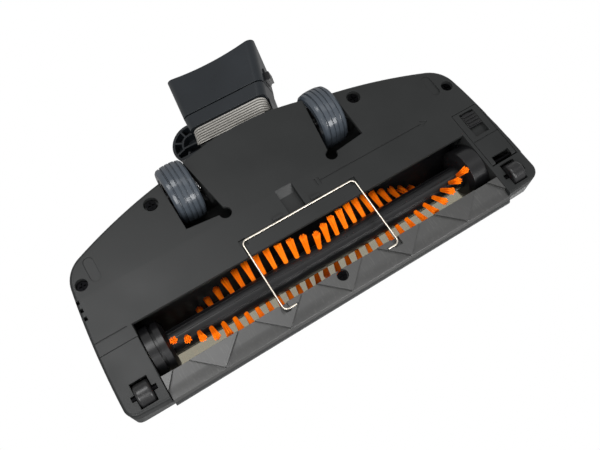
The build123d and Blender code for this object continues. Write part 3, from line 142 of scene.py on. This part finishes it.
@dataclass(frozen=True)
class Finish:
    """One real material: what it is made of and what it gives the eye.

    Attributes:
        name: Name of the Blender material.
        colour: Base colour as sRGB hex.
        deep: Second colour that the first one drifts to in patches.
        roughness: Mean roughness.
        metallic: One for bare metal.
        texture: Kind of small relief.
        grain_mm: Size of one grain or scratch.
        relief_mm: Height of the relief.
        body: What happens below the surface.
        specular: Strength of the reflection at normal incidence.
        edge_mm: Radius that the shading gives to sharp moulded edges.
        drift_mm: Size of the patches in colour and gloss.
        scuff: How strongly streaks from use show, zero for none.
        wall: Factor on the roughness of upright walls, which the floor doesn't polish.
    """

    name: str
    colour: str
    deep: str
    roughness: float
    metallic: float = 0.0
    texture: Texture = Texture.SMOOTH
    grain_mm: float = 0.5
    relief_mm: float = 0.01
    body: Body = Body.OPAQUE
    specular: float = 0.5
    edge_mm: float = 0.35
    drift_mm: float = 28.0
    scuff: float = 0.0
    wall: float = 1.0

    def build(self) -> bpy.types.Material:
        """Makes the Blender material.

        Returns:
            The material with its node tree.
        """
        material = bpy.data.materials.new(self.name)
        material.use_nodes = True
        tree = material.node_tree
        tree.nodes.clear()
        place = put(tree, "ShaderNodeNewGeometry")
        drift = put(
            tree,
            "ShaderNodeTexNoise",
            links={"Vector": place.outputs["Position"], "Scale": 1 / (self.drift_mm * MM), "Detail": 3.0},
        )
        tint = put(
            tree,
            "ShaderNodeMix",
            settings={"data_type": "RGBA"},
            links={0: drift.outputs[0], 6: linear(self.colour), 7: linear(self.deep)},
        )
        if self.scuff:
            tint = self.worn(tree, place, tint)
        gloss = put(
            tree,
            "ShaderNodeMapRange",
            links={
                "Value": drift.outputs[0],
                "From Min": 0.3,
                "From Max": 0.7,
                "To Min": self.roughness * 0.9,
                "To Max": min(1.0, self.roughness * 1.1),
            },
        )
        if self.wall != 1.0:
            gloss = self.unpolished(tree, gloss)
        shader = put(
            tree,
            "ShaderNodeBsdfPrincipled",
            links={
                "Base Color": tint.outputs[2],
                "Roughness": gloss.outputs[0],
                "Metallic": self.metallic,
                "Specular IOR Level": self.specular,
                "Normal": self.relief(tree, place),
            },
        )
        surface = self.under_surface(tree, shader, tint)
        put(tree, "ShaderNodeOutputMaterial", links={"Surface": surface})
        return material

    def unpolished(self, tree: bpy.types.NodeTree, gloss: bpy.types.Node) -> bpy.types.Node:
        """Keeps upright walls rougher than the faces that lie on the floor.

        Args:
            tree: Node tree of the material.
            gloss: Node whose first output is the roughness of the flat faces.

        Returns:
            Node whose first output is the roughness everywhere.
        """
        facing = put(tree, "ShaderNodeTexCoord")
        height = put(tree, "ShaderNodeSeparateXYZ", links={0: facing.outputs["Normal"]})
        flat = put(
            tree,
            "ShaderNodeMath",
            settings={"operation": "ABSOLUTE"},
            links={0: height.outputs[2]},
        )
        factor = put(
            tree,
            "ShaderNodeMapRange",
            links={
                "Value": flat.outputs[0],
                "From Min": WALL_TILT,
                "From Max": FLAT_TILT,
                "To Min": self.wall,
                "To Max": 1.0,
            },
        )
        return put(
            tree,
            "ShaderNodeMath",
            settings={"operation": "MULTIPLY"},
            links={0: gloss.outputs[0], 1: factor.outputs[0]},
        )

    def worn(self, tree: bpy.types.NodeTree, place: bpy.types.Node, tint: bpy.types.Node) -> bpy.types.Node:
        """Lays pale streaks along the pushing direction over the colour.

        Args:
            tree: Node tree of the material.
            place: Geometry node that gives the position.
            tint: Node whose third output is the colour.

        Returns:
            Node whose third output is the streaked colour.
        """
        laid = put(
            tree,
            "ShaderNodeMapping",
            links={"Vector": place.outputs["Position"], "Scale": (1.0, STREAK_STRETCH, 1.0)},
        )
        streak = put(
            tree,
            "ShaderNodeTexNoise",
            links={"Vector": laid.outputs[0], "Scale": 1 / (STREAK_MM * MM), "Detail": 3.0},
        )
        mask = put(
            tree,
            "ShaderNodeMapRange",
            links={"Value": streak.outputs[0], "From Min": 0.55, "From Max": 0.75, "To Max": self.scuff},
        )
        return put(
            tree,
            "ShaderNodeMix",
            settings={"data_type": "RGBA"},
            links={0: mask.outputs[0], 6: tint.outputs[2], 7: linear(STREAK_COLOUR)},
        )

    def relief(self, tree: bpy.types.NodeTree, place: bpy.types.Node) -> bpy.types.NodeSocket:
        """Gives the shading normal: softened edges under the fine relief.

        Args:
            tree: Node tree of the material.
            place: Geometry node that gives the position.

        Returns:
            Socket of the normal.
        """
        edge = put(tree, "ShaderNodeBevel", settings={"samples": 4}, links={"Radius": self.edge_mm * MM})
        if self.texture is Texture.SMOOTH:
            return edge.outputs[0]
        stretch = (1.0, 1.0, 1.0)
        if self.texture is Texture.DRAWN:
            stretch = (0.08, 1.0, 1.0)
        laid = put(
            tree,
            "ShaderNodeMapping",
            links={"Vector": place.outputs["Position"], "Scale": stretch},
        )
        grain = put(
            tree,
            "ShaderNodeTexNoise",
            links={"Vector": laid.outputs[0], "Scale": 1 / (self.grain_mm * MM), "Detail": 2.0},
        )
        bump = put(
            tree,
            "ShaderNodeBump",
            links={
                "Strength": RELIEF_STRENGTH,
                "Distance": self.relief_mm * MM,
                "Height": grain.outputs[0],
                "Normal": edge.outputs[0],
            },
        )
        return bump.outputs[0]

    def under_surface(
        self, tree: bpy.types.NodeTree, shader: bpy.types.Node, tint: bpy.types.Node
    ) -> bpy.types.NodeSocket:
        """Adds what light does inside the material.

        Args:
            tree: Node tree of the material.
            shader: Surface shader.
            tint: Node whose third output is the colour.

        Returns:
            Socket of the finished surface.
        """
        if self.body is Body.OPAQUE:
            return shader.outputs[0]
        if self.body is Body.CLEAR:
            veil = put(tree, "ShaderNodeBsdfTransparent", links={"Color": tint.outputs[2]})
            rim = put(tree, "ShaderNodeFresnel", links={"IOR": WINDOW_IOR})
            gloss = put(tree, "ShaderNodeBsdfGlossy", links={"Roughness": self.roughness})
            mix = put(
                tree,
                "ShaderNodeMixShader",
                links={0: rim.outputs[0], 1: veil.outputs[0], 2: gloss.outputs[0]},
            )
            return mix.outputs[0]
        if self.body is Body.SMOKY:
            through = put(tree, "ShaderNodeBsdfTransparent", links={"Color": tint.outputs[2]})
            mix = put(
                tree,
                "ShaderNodeMixShader",
                links={0: SMOKY_SHARE, 1: shader.outputs[0], 2: through.outputs[0]},
            )
            return mix.outputs[0]
        glow = put(tree, "ShaderNodeBsdfTranslucent", links={"Color": tint.outputs[2]})
        mix = put(
            tree,
            "ShaderNodeMixShader",
            links={0: MILKY_SHARE, 1: shader.outputs[0], 2: glow.outputs[0]},
        )
        return mix.outputs[0]


# Grained ABS: nearly black by itself; a broad dull sheen lifts the big faces to charcoal
CHARCOAL = Finish(
    "charcoal_grained_abs",
    "#161717",
    "#1d1e1e",
    0.4,
    texture=Texture.GRAINED,
    grain_mm=0.45,
    relief_mm=0.006,
    specular=0.16,
    wall=2.2,
)
# Upper shell: the same ABS with a deeper, matt grain, so that its steep walls stay dark
SHELL = Finish(
    "matt_charcoal_abs",
    "#282929",
    "#2f3030",
    0.6,
    texture=Texture.GRAINED,
    grain_mm=0.6,
    relief_mm=0.006,
    specular=0.1,
)
# The lip is polished by the floor: glossier than the tray and streaked fore and aft; its paler base colour
# is painted light, as it faces the lamps
LIP_PAINTED_LIGHT = Finish(
    "worn_lip_abs_painted_light",
    "#222222",
    "#2a2a29",
    0.36,
    texture=Texture.GRAINED,
    grain_mm=0.6,
    relief_mm=0.008,
    specular=0.45,
    scuff=0.07,
)
# Neck moulding: the same grain with a cool cast
NECK = Finish(
    "cool_charcoal_abs",
    "#101316",
    "#15191d",
    0.3,
    texture=Texture.GRAINED,
    grain_mm=0.45,
    relief_mm=0.006,
    specular=0.22,
)
# Roller ends and other inner mouldings: near black with a sharper gleam
BLACK = Finish("satin_black_abs", "#0c0c0d", "#111112", 0.3, specular=0.22)
# Front wheels: hard black plastic, dulled by the floor
WHEEL = Finish(
    "scuffed_black_nylon",
    "#0b0b0c",
    "#121213",
    0.32,
    texture=Texture.GRAINED,
    grain_mm=0.6,
    relief_mm=0.006,
    specular=0.3,
    scuff=0.05,
)
# Smoked window: lets the white ground through as a warm grey band behind the bristles
SMOKE = Finish("smoked_polycarbonate", "#c8c5bb", "#c2bfb4", 0.08, body=Body.CLEAR, edge_mm=0.2)
# Rear tyres: half-clear blue-grey rubber; the black hub shows through as a dark heart
TYRE = Finish("clear_grey_tpu", "#474e56", "#535a62", 0.16, body=Body.SMOKY, edge_mm=0.2)
# Bellows: pale soft rubber that catches the light on each fold
BELLOWS = Finish("pale_grey_elastomer", "#a8a6a1", "#b4b1ab", 0.6, body=Body.MILKY, edge_mm=0.2)
# Webs between the folds: the same rubber, painted dark as painted shade in the folds, and matt
FOLD_SHADE = Finish("painted_shade_fold_elastomer", "#4a4843", "#3c3a36", 0.8, edge_mm=0.2)
# Hose and belt: dull black rubber
RUBBER = Finish("matt_black_rubber", "#151515", "#1d1d1d", 0.75, texture=Texture.GRAINED)
# Bristles: bright orange nylon; light passing from one to the next deepens it to red in the shade
BRISTLE = Finish(
    "orange_nylon_bristle",
    "#ff9410",
    "#ff8404",
    0.5,
    body=Body.MILKY,
    specular=0.12,
    edge_mm=0.05,
    drift_mm=9.0,
)
# Guard wire: bright drawn steel, a thin white line across the slot
WIRE = Finish(
    "bright_drawn_wire", "#aca69c", "#9a948a", 0.26, metallic=1.0, texture=Texture.DRAWN, grain_mm=0.3
)
# Axles and clips: turned steel, dulled by use
STEEL = Finish("turned_steel", "#8d8d8e", "#7c7c7e", 0.34, metallic=1.0, edge_mm=0.1)
# Screws and the latch pin: blackened steel, its colour darkened further as painted shade of the deep screw
# wells, so that only a glint shows in each well
SCREW_PAINTED_SHADE = Finish("blackened_steel_painted_shade", "#0b0b0c", "#070708", 0.45, metallic=1.0, edge_mm=0.15)
# Motor can: plated sheet steel
CAN = Finish("zinc_plated_steel", "#8c8f90", "#7d8082", 0.34, metallic=1.0)
# Bushes and pulleys: natural nylon
NYLON = Finish("natural_nylon", "#c9c3b4", "#bdb7a8", 0.5)

NODE_FINISH: dict[str, Finish] = {
    "chassis": CHARCOAL,
    "top_shell": SHELL,
    "end_cover": CHARCOAL,
    "latch_door": CHARCOAL,
    "front_lip": LIP_PAINTED_LIGHT,
    "window": SMOKE,
    "neck_collar": NECK,
    "neck_connector": NECK,
    "chamber_wall": BLACK,
    "suction_duct": BLACK,
    "motor_cradle": BLACK,
    "brush_core": BLACK,
    "drive_collar": BLACK,
    "idler_cap": BLACK,
    "rear_hub_left": BLACK,
    "rear_hub_right": BLACK,
    "latch_slider": BLACK,
    "tilt_yoke": BLACK,
    "swivel_ring": BLACK,
    "neck_catch": BLACK,
    "front_wheel_left": WHEEL,
    "front_wheel_right": WHEEL,
    "rear_tyre_left": TYRE,
    "rear_tyre_right": TYRE,
    "inner_hose": RUBBER,
    "drive_belt": RUBBER,
    "wire_guard": WIRE,
    "chassis_screws": SCREW_PAINTED_SHADE,
    "lip_screw": SCREW_PAINTED_SHADE,
    "rear_axle_left": STEEL,
    "rear_axle_right": STEEL,
    "front_axle_left": SCREW_PAINTED_SHADE,
    "front_axle_right": SCREW_PAINTED_SHADE,
    "axle_clips": STEEL,
    "latch_pin": SCREW_PAINTED_SHADE,
    "motor": CAN,
    "motor_pulley": NYLON,
    "brush_pulley": NYLON,
    "drive_bush": NYLON,
    "idler_bush": NYLON,
    "bellows": BELLOWS,
    "bristle_tufts": BRISTLE,
}


class Paintbox:
    """Builds each finish once and hands it out."""

    def __init__(self) -> None:
        """Starts with no material built."""
        self.made: dict[str, bpy.types.Material] = {}

    def get(self, finish: Finish) -> bpy.types.Material:
        """Gives the Blender material of a finish.

        Args:
            finish: Finish to look up.

        Returns:
            Its material, built on first use.
        """
        if finish.name not in self.made:
            self.made[finish.name] = finish.build()
        return self.made[finish.name]


def mesh_object(name: str, verts: list[Vector], faces: list[list[int]]) -> bpy.types.Object:
    """Makes a smooth-shaded mesh object and links it to the scene.

    Args:
        name: Name of the object and its mesh.
        verts: Corner points in metres.
        faces: Corner numbers of each face.

    Returns:
        The new object.
    """
    mesh = bpy.data.meshes.new(name)
    mesh.from_pydata([tuple(v) for v in verts], [], faces)
    for polygon in mesh.polygons:
        polygon.use_smooth = True
    mesh.update()
    made = bpy.data.objects.new(name, mesh)
    bpy.context.scene.collection.objects.link(made)
    return made


@dataclass
class BristleRows:
    """Bundles of nylon filaments in two helical rows that meet in a V.

    Attributes:
        core_r: Radius of the roller's core (mm).
        tip_r: Radius that the tips reach (mm).
        pitch: Distance between bundles (mm).
        count: Bundles in a row.
        end_x: Place along the roller where the rows start (mm).
        end_deg: Angle of the rows from straight down at that place.
        twist: Turn of the row per millimetre towards the middle (degrees).
        filaments: Filaments in a bundle.
        root_r: Radius of a bundle at the core (mm).
        flare: Radius of a bundle at its tip (mm).
        filament_r: Radius of one filament (mm).
        sides: Sides of one filament.
        rings: Sections along one filament.
        sunk: How deep the roots sit in the core (mm).
        uneven: Largest difference in length between filaments (mm).
        stray: Largest turn of a filament from its even place (radians).
        slant: Largest lean of a bundle along the roller, as a share of its length.
        bloom: Power of the flare; above one the bundle opens late.
        seed: Seed of the small differences between filaments.
    """

    core_r: float = 7.5
    tip_r: float = 20.2
    pitch: float = 7.0
    count: int = 29
    end_x: float = 97
    end_deg: float = 15.0
    twist: float = 1.47
    filaments: int = 44
    root_r: float = 1.15
    flare: float = 2.1
    filament_r: float = 0.27
    sides: int = 5
    rings: int = 4
    sunk: float = 0.3
    uneven: float = 0.7
    stray: float = 0.3
    slant: float = 0.025
    bloom: float = 1.3
    seed: int = 11

    def bundle(
        self, x: float, turn: float, draw: random.Random, verts: list[Vector], faces: list[list[int]]
    ) -> None:
        """Adds the filaments of one bundle.

        Args:
            x: Place along the roller (mm).
            turn: Angle from straight down, positive towards the lip (radians).
            draw: Source of the small differences.
            verts: Corner points so far, added to.
            faces: Faces so far, added to.
        """
        aim = Vector((0.0, -math.sin(turn), -math.cos(turn)))
        across = Vector((1.0, 0.0, 0.0))
        up = aim.cross(across)
        axis = joint("brush_spin")
        lean = draw.uniform(-self.slant, self.slant)
        for index in range(self.filaments):
            spread = math.sqrt((index + 0.5) / self.filaments)
            angle = index * GOLDEN_ANGLE + draw.uniform(-self.stray, self.stray)
            side = across * math.cos(angle) + up * math.sin(angle)
            length = self.tip_r - self.core_r + self.sunk - draw.uniform(0.0, self.uneven)
            start = len(verts)
            for ring in range(self.rings):
                along = ring / (self.rings - 1)
                reach = self.core_r - self.sunk + length * along
                radius = (self.root_r + (self.flare - self.root_r) * along**self.bloom) * spread
                centre = aim * reach + side * radius + across * (lean * length * along * along)
                for corner in range(self.sides):
                    step = 2 * math.pi * corner / self.sides
                    rim = (across * math.cos(step) + up * math.sin(step)) * self.filament_r
                    verts.append(axis + (centre + rim + across * x) * MM)
            for ring in range(self.rings - 1):
                low = start + ring * self.sides
                for corner in range(self.sides):
                    after = (corner + 1) % self.sides
                    high = low + self.sides
                    faces.append([low + corner, low + after, high + after, high + corner])
            tip = start + (self.rings - 1) * self.sides
            faces.append([tip + corner for corner in range(self.sides)])

    def build(self, paint: Paintbox) -> bpy.types.Object:
        """Makes all bundles as one piece on the roller.

        Args:
            paint: Source of materials.

        Returns:
            The finished object.
        """
        draw = random.Random(self.seed)
        verts: list[Vector] = []
        faces: list[list[int]] = []
        for index in range(self.count):
            x = (index - (self.count - 1) / 2) * self.pitch
            lead = self.end_deg + self.twist * (self.end_x - abs(x))
            for turn in (math.radians(lead), math.radians(lead - 180)):
                self.bundle(x, turn, draw, verts, faces)
        made = mesh_object("bristle_bundles", verts, faces)
        made.data.materials.append(paint.get(BRISTLE))
        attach(made, "brush")
        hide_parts("bristle_tufts")
        return made


@dataclass
class BellowsSleeve:
    """Pleated sleeve between the swivel flange and the neck's band.

    Attributes:
        swivel: Direction of the swivel axis.
        rest_deg: Turn of the neck at rest.
        reach: Distance from the pivot to the neck's own origin (mm).
        bend_deg: Angle between the swivel axis and the neck.
        folds: Number of pleats.
        pitch: Length of one pleat (mm).
        crest: Half width and half height at a crest (mm).
        depth: Depth of the folds (mm).
        corner: Corner radius at a crest (mm).
        centre_z: Middle of the section above the neck's under face (mm).
        start: Gap between the neck's band and the first fold (mm).
        cut: Distance of the flange's face from the pivot (mm).
        bore: Depth of the inner wall below a crest (mm).
        per_fold: Sections along one pleat.
        pinch: Power that makes the valleys narrow.
        web: Depth into a valley, as a cosine, from which a face counts as web and takes the painted shade.
    """

    swivel: Point = (0.0, 0.846533, -0.532335)
    rest_deg: float = -23.8
    reach: float = 18.4
    bend_deg: float = 34.4
    folds: int = 7
    pitch: float = 1.857
    crest: tuple[float, float] = (26.5, 12.5)
    depth: float = 1.3
    corner: float = 5.5
    centre_z: float = 14.0
    start: float = 0.05
    cut: float = 7.1
    bore: float = 2.6
    per_fold: int = 10
    pinch: float = 1.6
    web: float = 0.35

    def axes(self) -> Matrix:
        """Gives the neck's frame.

        Returns:
            Matrix from neck millimetres to row-frame metres.
        """
        along = Vector(self.swivel).normalized()
        across = Vector((1.0, 0.0, 0.0))
        down = along.cross(across)
        turn = math.radians(self.rest_deg)
        x_axis = across * math.cos(turn) + down * math.sin(turn)
        y_turned = down * math.cos(turn) - across * math.sin(turn)
        bend = math.radians(self.bend_deg)
        z_axis = along * -math.sin(bend) - y_turned * math.cos(bend)
        y_axis = z_axis.cross(x_axis)
        origin = joint("neck_swivel") + along * (self.reach * MM)
        matrix = Matrix((x_axis, y_axis, z_axis)).transposed().to_4x4()
        matrix.translation = origin
        return matrix

    def section(self, inset: float, steps: int = 8) -> list[tuple[float, float]]:
        """Outline of the sleeve, drawn in by an inset.

        Args:
            inset: How far inside the crest (mm).
            steps: Points on each corner.

        Returns:
            Points across and up (mm).
        """
        half_w = self.crest[0] - inset
        half_h = self.crest[1] - inset
        radius = max(0.5, self.corner - inset)
        points = []
        for quarter, (sx, sy) in enumerate(((1, 1), (-1, 1), (-1, -1), (1, -1))):
            for step in range(steps + 1):
                angle = math.radians(90 * quarter + 90 * step / steps)
                points.append(
                    (
                        sx * (half_w - radius) + radius * math.cos(angle),
                        sy * (half_h - radius) + radius * math.sin(angle),
                    )
                )
        return points

    def build(self, paint: Paintbox) -> bpy.types.Object:
        """Makes the sleeve as one piece on the neck.

        Args:
            paint: Source of materials.

        Returns:
            The finished object.
        """
        frame_matrix = self.axes()
        rings: list[list[Vector]] = []
        for index in range(self.folds * self.per_fold + 1):
            phase = index / self.per_fold
            inset = self.depth * (0.5 + 0.5 * math.cos(2 * math.pi * phase)) ** self.pinch
            y = -self.start - phase * self.pitch
            rings.append([self.place(frame_matrix, px, y, pz) for px, pz in self.section(inset)])
        far = -self.start - self.folds * self.pitch
        inner_far = [self.place(frame_matrix, px, far, pz) for px, pz in self.section(self.bore)]
        inner_near = [self.place(frame_matrix, px, -self.start, pz) for px, pz in self.section(self.bore)]
        rings = [inner_near, *rings, inner_far, inner_near]
        width = len(rings[0])
        verts = [point for ring in rings for point in ring]
        faces = []
        for ring in range(len(rings) - 1):
            for corner in range(width):
                after = (corner + 1) % width
                low = ring * width
                faces.append([low + corner, low + width + corner, low + width + after, low + after])
        made = mesh_object("bellows_sleeve", verts, faces)
        made.data.materials.append(paint.get(BELLOWS))
        made.data.materials.append(paint.get(FOLD_SHADE))
        # Faces deep in each valley take the dark fold material: painted shade in the folds
        for polygon in made.data.polygons:
            phase = (polygon.index // width - 0.5) / self.per_fold
            polygon.material_index = int(math.cos(2 * math.pi * phase) > self.web)
        along = Vector(self.swivel).normalized()
        work = bmesh.new()
        work.from_mesh(made.data)
        bmesh.ops.remove_doubles(work, verts=work.verts, dist=1e-6)
        bmesh.ops.bisect_plane(
            work,
            geom=[*work.verts, *work.edges, *work.faces],
            plane_co=joint("neck_swivel") + along * (self.cut * MM),
            plane_no=along,
            clear_inner=True,
        )
        bmesh.ops.recalc_face_normals(work, faces=work.faces)
        work.to_mesh(made.data)
        work.free()
        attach(made, "neck")
        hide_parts("bellows")
        return made

    def place(self, matrix: Matrix, across: float, along: float, up: float) -> Vector:
        """Row-frame point of a point in the neck's frame.

        Args:
            matrix: Frame of the neck.
            across: Millimetres across the neck.
            along: Millimetres towards the mouth.
            up: Millimetres above the sleeve's middle.

        Returns:
            The point in metres.
        """
        return matrix @ (Vector((across, along, self.centre_z + up)) * MM)


@dataclass
class CadDress:
    """Puts a finish on every CAD node that is still shown.

    Attributes:
        finishes: Finish of each node.
    """

    finishes: dict[str, Finish] = field(default_factory=lambda: dict(NODE_FINISH))

    def dress(self, paint: Paintbox) -> None:
        """Replaces each node's plain material.

        Args:
            paint: Source of materials.
        """
        for name, node in frame["nodes"].items():
            finish = self.finishes[name]
            node.data.materials.clear()
            node.data.materials.append(paint.get(finish))
            log.info("node %s takes %s", name, finish.name)


@dataclass
class StudioFloor:
    """Pale floor that shows from above only, so that the photo's view from below stays clear.

    Attributes:
        half: Half the side of the floor (m).
        drop: Gap below the part (m).
        colour: Floor colour as sRGB hex.
    """

    half: float = 40.0
    drop: float = 0.0002
    colour: str = "#e9e7e3"

    def build(self) -> bpy.types.Object:
        """Makes the floor as a stage object.

        Returns:
            The floor.
        """
        corners = [(-1, -1), (1, -1), (1, 1), (-1, 1)]
        verts = [Vector((x * self.half, y * self.half, -self.drop)) for x, y in corners]
        made = mesh_object("studio_floor", verts, [[0, 1, 2, 3]])
        material = bpy.data.materials.new("pale_studio_board")
        material.use_nodes = True
        tree = material.node_tree
        tree.nodes.clear()
        side = put(tree, "ShaderNodeNewGeometry")
        matt = put(tree, "ShaderNodeBsdfDiffuse", links={"Color": linear(self.colour)})
        gone = put(tree, "ShaderNodeBsdfTransparent")
        mix = put(
            tree,
            "ShaderNodeMixShader",
            links={0: side.outputs["Backfacing"], 1: matt.outputs[0], 2: gone.outputs[0]},
        )
        put(tree, "ShaderNodeOutputMaterial", links={"Surface": mix.outputs[0]})
        made.data.materials.append(material)
        # The floor takes the part's shadow but neither lights nor shades it, as the photo has no floor there
        made.visible_diffuse = False
        made.visible_glossy = False
        made.visible_transmission = False
        made.visible_shadow = False
        return made


@dataclass
class SoftBox:
    """One studio lamp with a rectangular face.

    Attributes:
        name: Name of the lamp.
        place: Where it hangs (m).
        aim: Point that it looks at (m).
        size: Width and height of the lamp (m).
        power: Power (W).
    """

    name: str
    place: Point
    aim: Point
    size: tuple[float, float]
    power: float

    def build(self) -> bpy.types.Object:
        """Hangs the lamp.

        Returns:
            The lamp object.
        """
        lamp = bpy.data.lights.new(self.name, "AREA")
        lamp.shape = "RECTANGLE"
        lamp.size = self.size[0]
        lamp.size_y = self.size[1]
        lamp.energy = self.power
        made = bpy.data.objects.new(self.name, lamp)
        made.location = self.place
        made.rotation_euler = (Vector(self.aim) - Vector(self.place)).to_track_quat("-Z", "Y").to_euler()
        made.visible_camera = False
        bpy.context.scene.collection.objects.link(made)
        return made


@dataclass
class Studio:
    """White studio: ground glow, lamps and the photo's camera.

    Attributes:
        seen: Brightness of the white that the camera and mirrors see.
        ambient: Brightness of the white that matt surfaces see.
        dim: Upward part of a mirror ray at which the white starts and ends to fall off.
        sun: Strength of the light from above.
        sun_spread: Width of that light (degrees).
        sun_aim: Direction that it shines in.
        lens: Focal length on a 36 mm sensor (mm).
        eye: Camera from the datum (mm).
        right: Direction of the picture's right edge.
        down: Direction of the picture's lower edge; not used.
        forward: Viewing direction.
        lamps: Soft boxes.
    """

    seen: float = 1.0
    ambient: float = 0.45
    dim: tuple[float, float] = (0.1, 0.7)
    sun: float = 1.6
    sun_spread: float = 40
    sun_aim: Point = (0.35, 0.5, -1.0)
    lens: float = 40.79
    eye: Point = (92.0, -91.5, -360.9)
    right: Point = (-0.8475, -0.5305, -0.0149)
    down: Point = (0.4817, -0.7806, 0.3982)
    forward: Point = (-0.2229, 0.3304, 0.9172)
    lamps: list[SoftBox] = field(
        default_factory=lambda: [
            SoftBox("key_below", (0.5, -0.55, -0.7), (0.0, 0.0, 0.02), (0.5, 0.5), 9.0),
            SoftBox("front_fill", (-0.22, -0.77, -0.45), (0.0, 0.0, 0.02), (0.4, 0.3), 6.0),
            SoftBox("end_sheen", (0.2, 0.2, -0.77), (0.1, 0.0, 0.02), (0.34, 0.34), 3.2),
            SoftBox("lip_sheen", (-0.1, 0.12, -0.8), (0.0, -0.04, 0.0), (1.0, 0.32), 1.6),
        ]
    )

    def world(self) -> None:
        """Sets the white ground: full for what is seen, softer for what lights."""
        world = bpy.data.worlds.new("white_studio")
        world.use_nodes = True
        tree = world.node_tree
        tree.nodes.clear()
        ray = put(tree, "ShaderNodeLightPath")
        mirror = put(
            tree,
            "ShaderNodeMath",
            settings={"operation": "MAXIMUM"},
            links={0: ray.outputs["Is Camera Ray"], 1: ray.outputs["Is Transmission Ray"]},
        )
        aim = put(tree, "ShaderNodeTexCoord")
        height = put(tree, "ShaderNodeSeparateXYZ", links={0: aim.outputs["Generated"]})
        # Overhead the white falls off to the softer level, so that upright walls keep their own dark
        overhead = put(
            tree,
            "ShaderNodeMapRange",
            links={
                "Value": height.outputs[2],
                "From Min": self.dim[0],
                "From Max": self.dim[1],
                "To Min": 1.0,
                "To Max": 0.0,
            },
        )
        shine = put(
            tree,
            "ShaderNodeMath",
            settings={"operation": "MULTIPLY"},
            links={0: ray.outputs["Is Glossy Ray"], 1: overhead.outputs[0]},
        )
        mirror = put(
            tree,
            "ShaderNodeMath",
            settings={"operation": "MAXIMUM"},
            links={0: mirror.outputs[0], 1: shine.outputs[0]},
        )
        level = put(
            tree,
            "ShaderNodeMapRange",
            links={"Value": mirror.outputs[0], "To Min": self.ambient, "To Max": self.seen},
        )
        glow = put(
            tree,
            "ShaderNodeBackground",
            links={"Color": linear("#ffffff"), "Strength": level.outputs[0]},
        )
        put(tree, "ShaderNodeOutputWorld", links={"Surface": glow.outputs[0]})
        bpy.context.scene.world = world

    def daylight(self) -> bpy.types.Object:
        """Adds soft light from above that falls evenly on the floor.

        Returns:
            The lamp object.
        """
        lamp = bpy.data.lights.new("soft_daylight", "SUN")
        lamp.energy = self.sun
        lamp.angle = math.radians(self.sun_spread)
        made = bpy.data.objects.new("soft_daylight", lamp)
        made.rotation_euler = Vector(self.sun_aim).to_track_quat("-Z", "Y").to_euler()
        bpy.context.scene.collection.objects.link(made)
        return made

    def camera(self) -> bpy.types.Object:
        """Sets up the photo's camera.

        Returns:
            The camera object.
        """
        data = bpy.data.cameras.new("photo_camera")
        data.sensor_width = 36.0
        data.lens = self.lens
        data.clip_start = 0.01
        made = bpy.data.objects.new("photo_camera", data)
        x_axis = Vector(self.right).normalized()
        z_axis = -Vector(self.forward).normalized()
        y_axis = z_axis.cross(x_axis).normalized()
        matrix = Matrix((x_axis, y_axis, z_axis)).transposed().to_4x4()
        matrix.translation = datum(*self.eye)
        made.matrix_world = matrix
        bpy.context.scene.collection.objects.link(made)
        bpy.context.scene.camera = made
        return made

    def build(self) -> None:
        """Sets the world, lamps, camera and view."""
        self.world()
        for lamp in self.lamps:
            lamp.build()
        self.daylight()
        self.camera()
        bpy.context.scene.view_settings.view_transform = "Standard"


def corners(box: Any) -> list[list[float]]:
    """Plain numbers of a box's two corners."""
    return [[float(c) for c in corner] for corner in box]


def main() -> None:
    """Builds every piece, dresses the CAD nodes and lights the scene."""
    logging.basicConfig(level=logging.INFO, format="%(name)s: %(message)s")
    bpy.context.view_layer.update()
    paint = Paintbox()
    CadDress().dress(paint)
    for builder in (BristleRows(), BellowsSleeve()):
        made = builder.build(paint)
        log.info("piece %s has %d faces", made.name, len(made.data.polygons))
    StudioFloor().build()
    Studio().build()


if __name__ == "__main__":
    main()
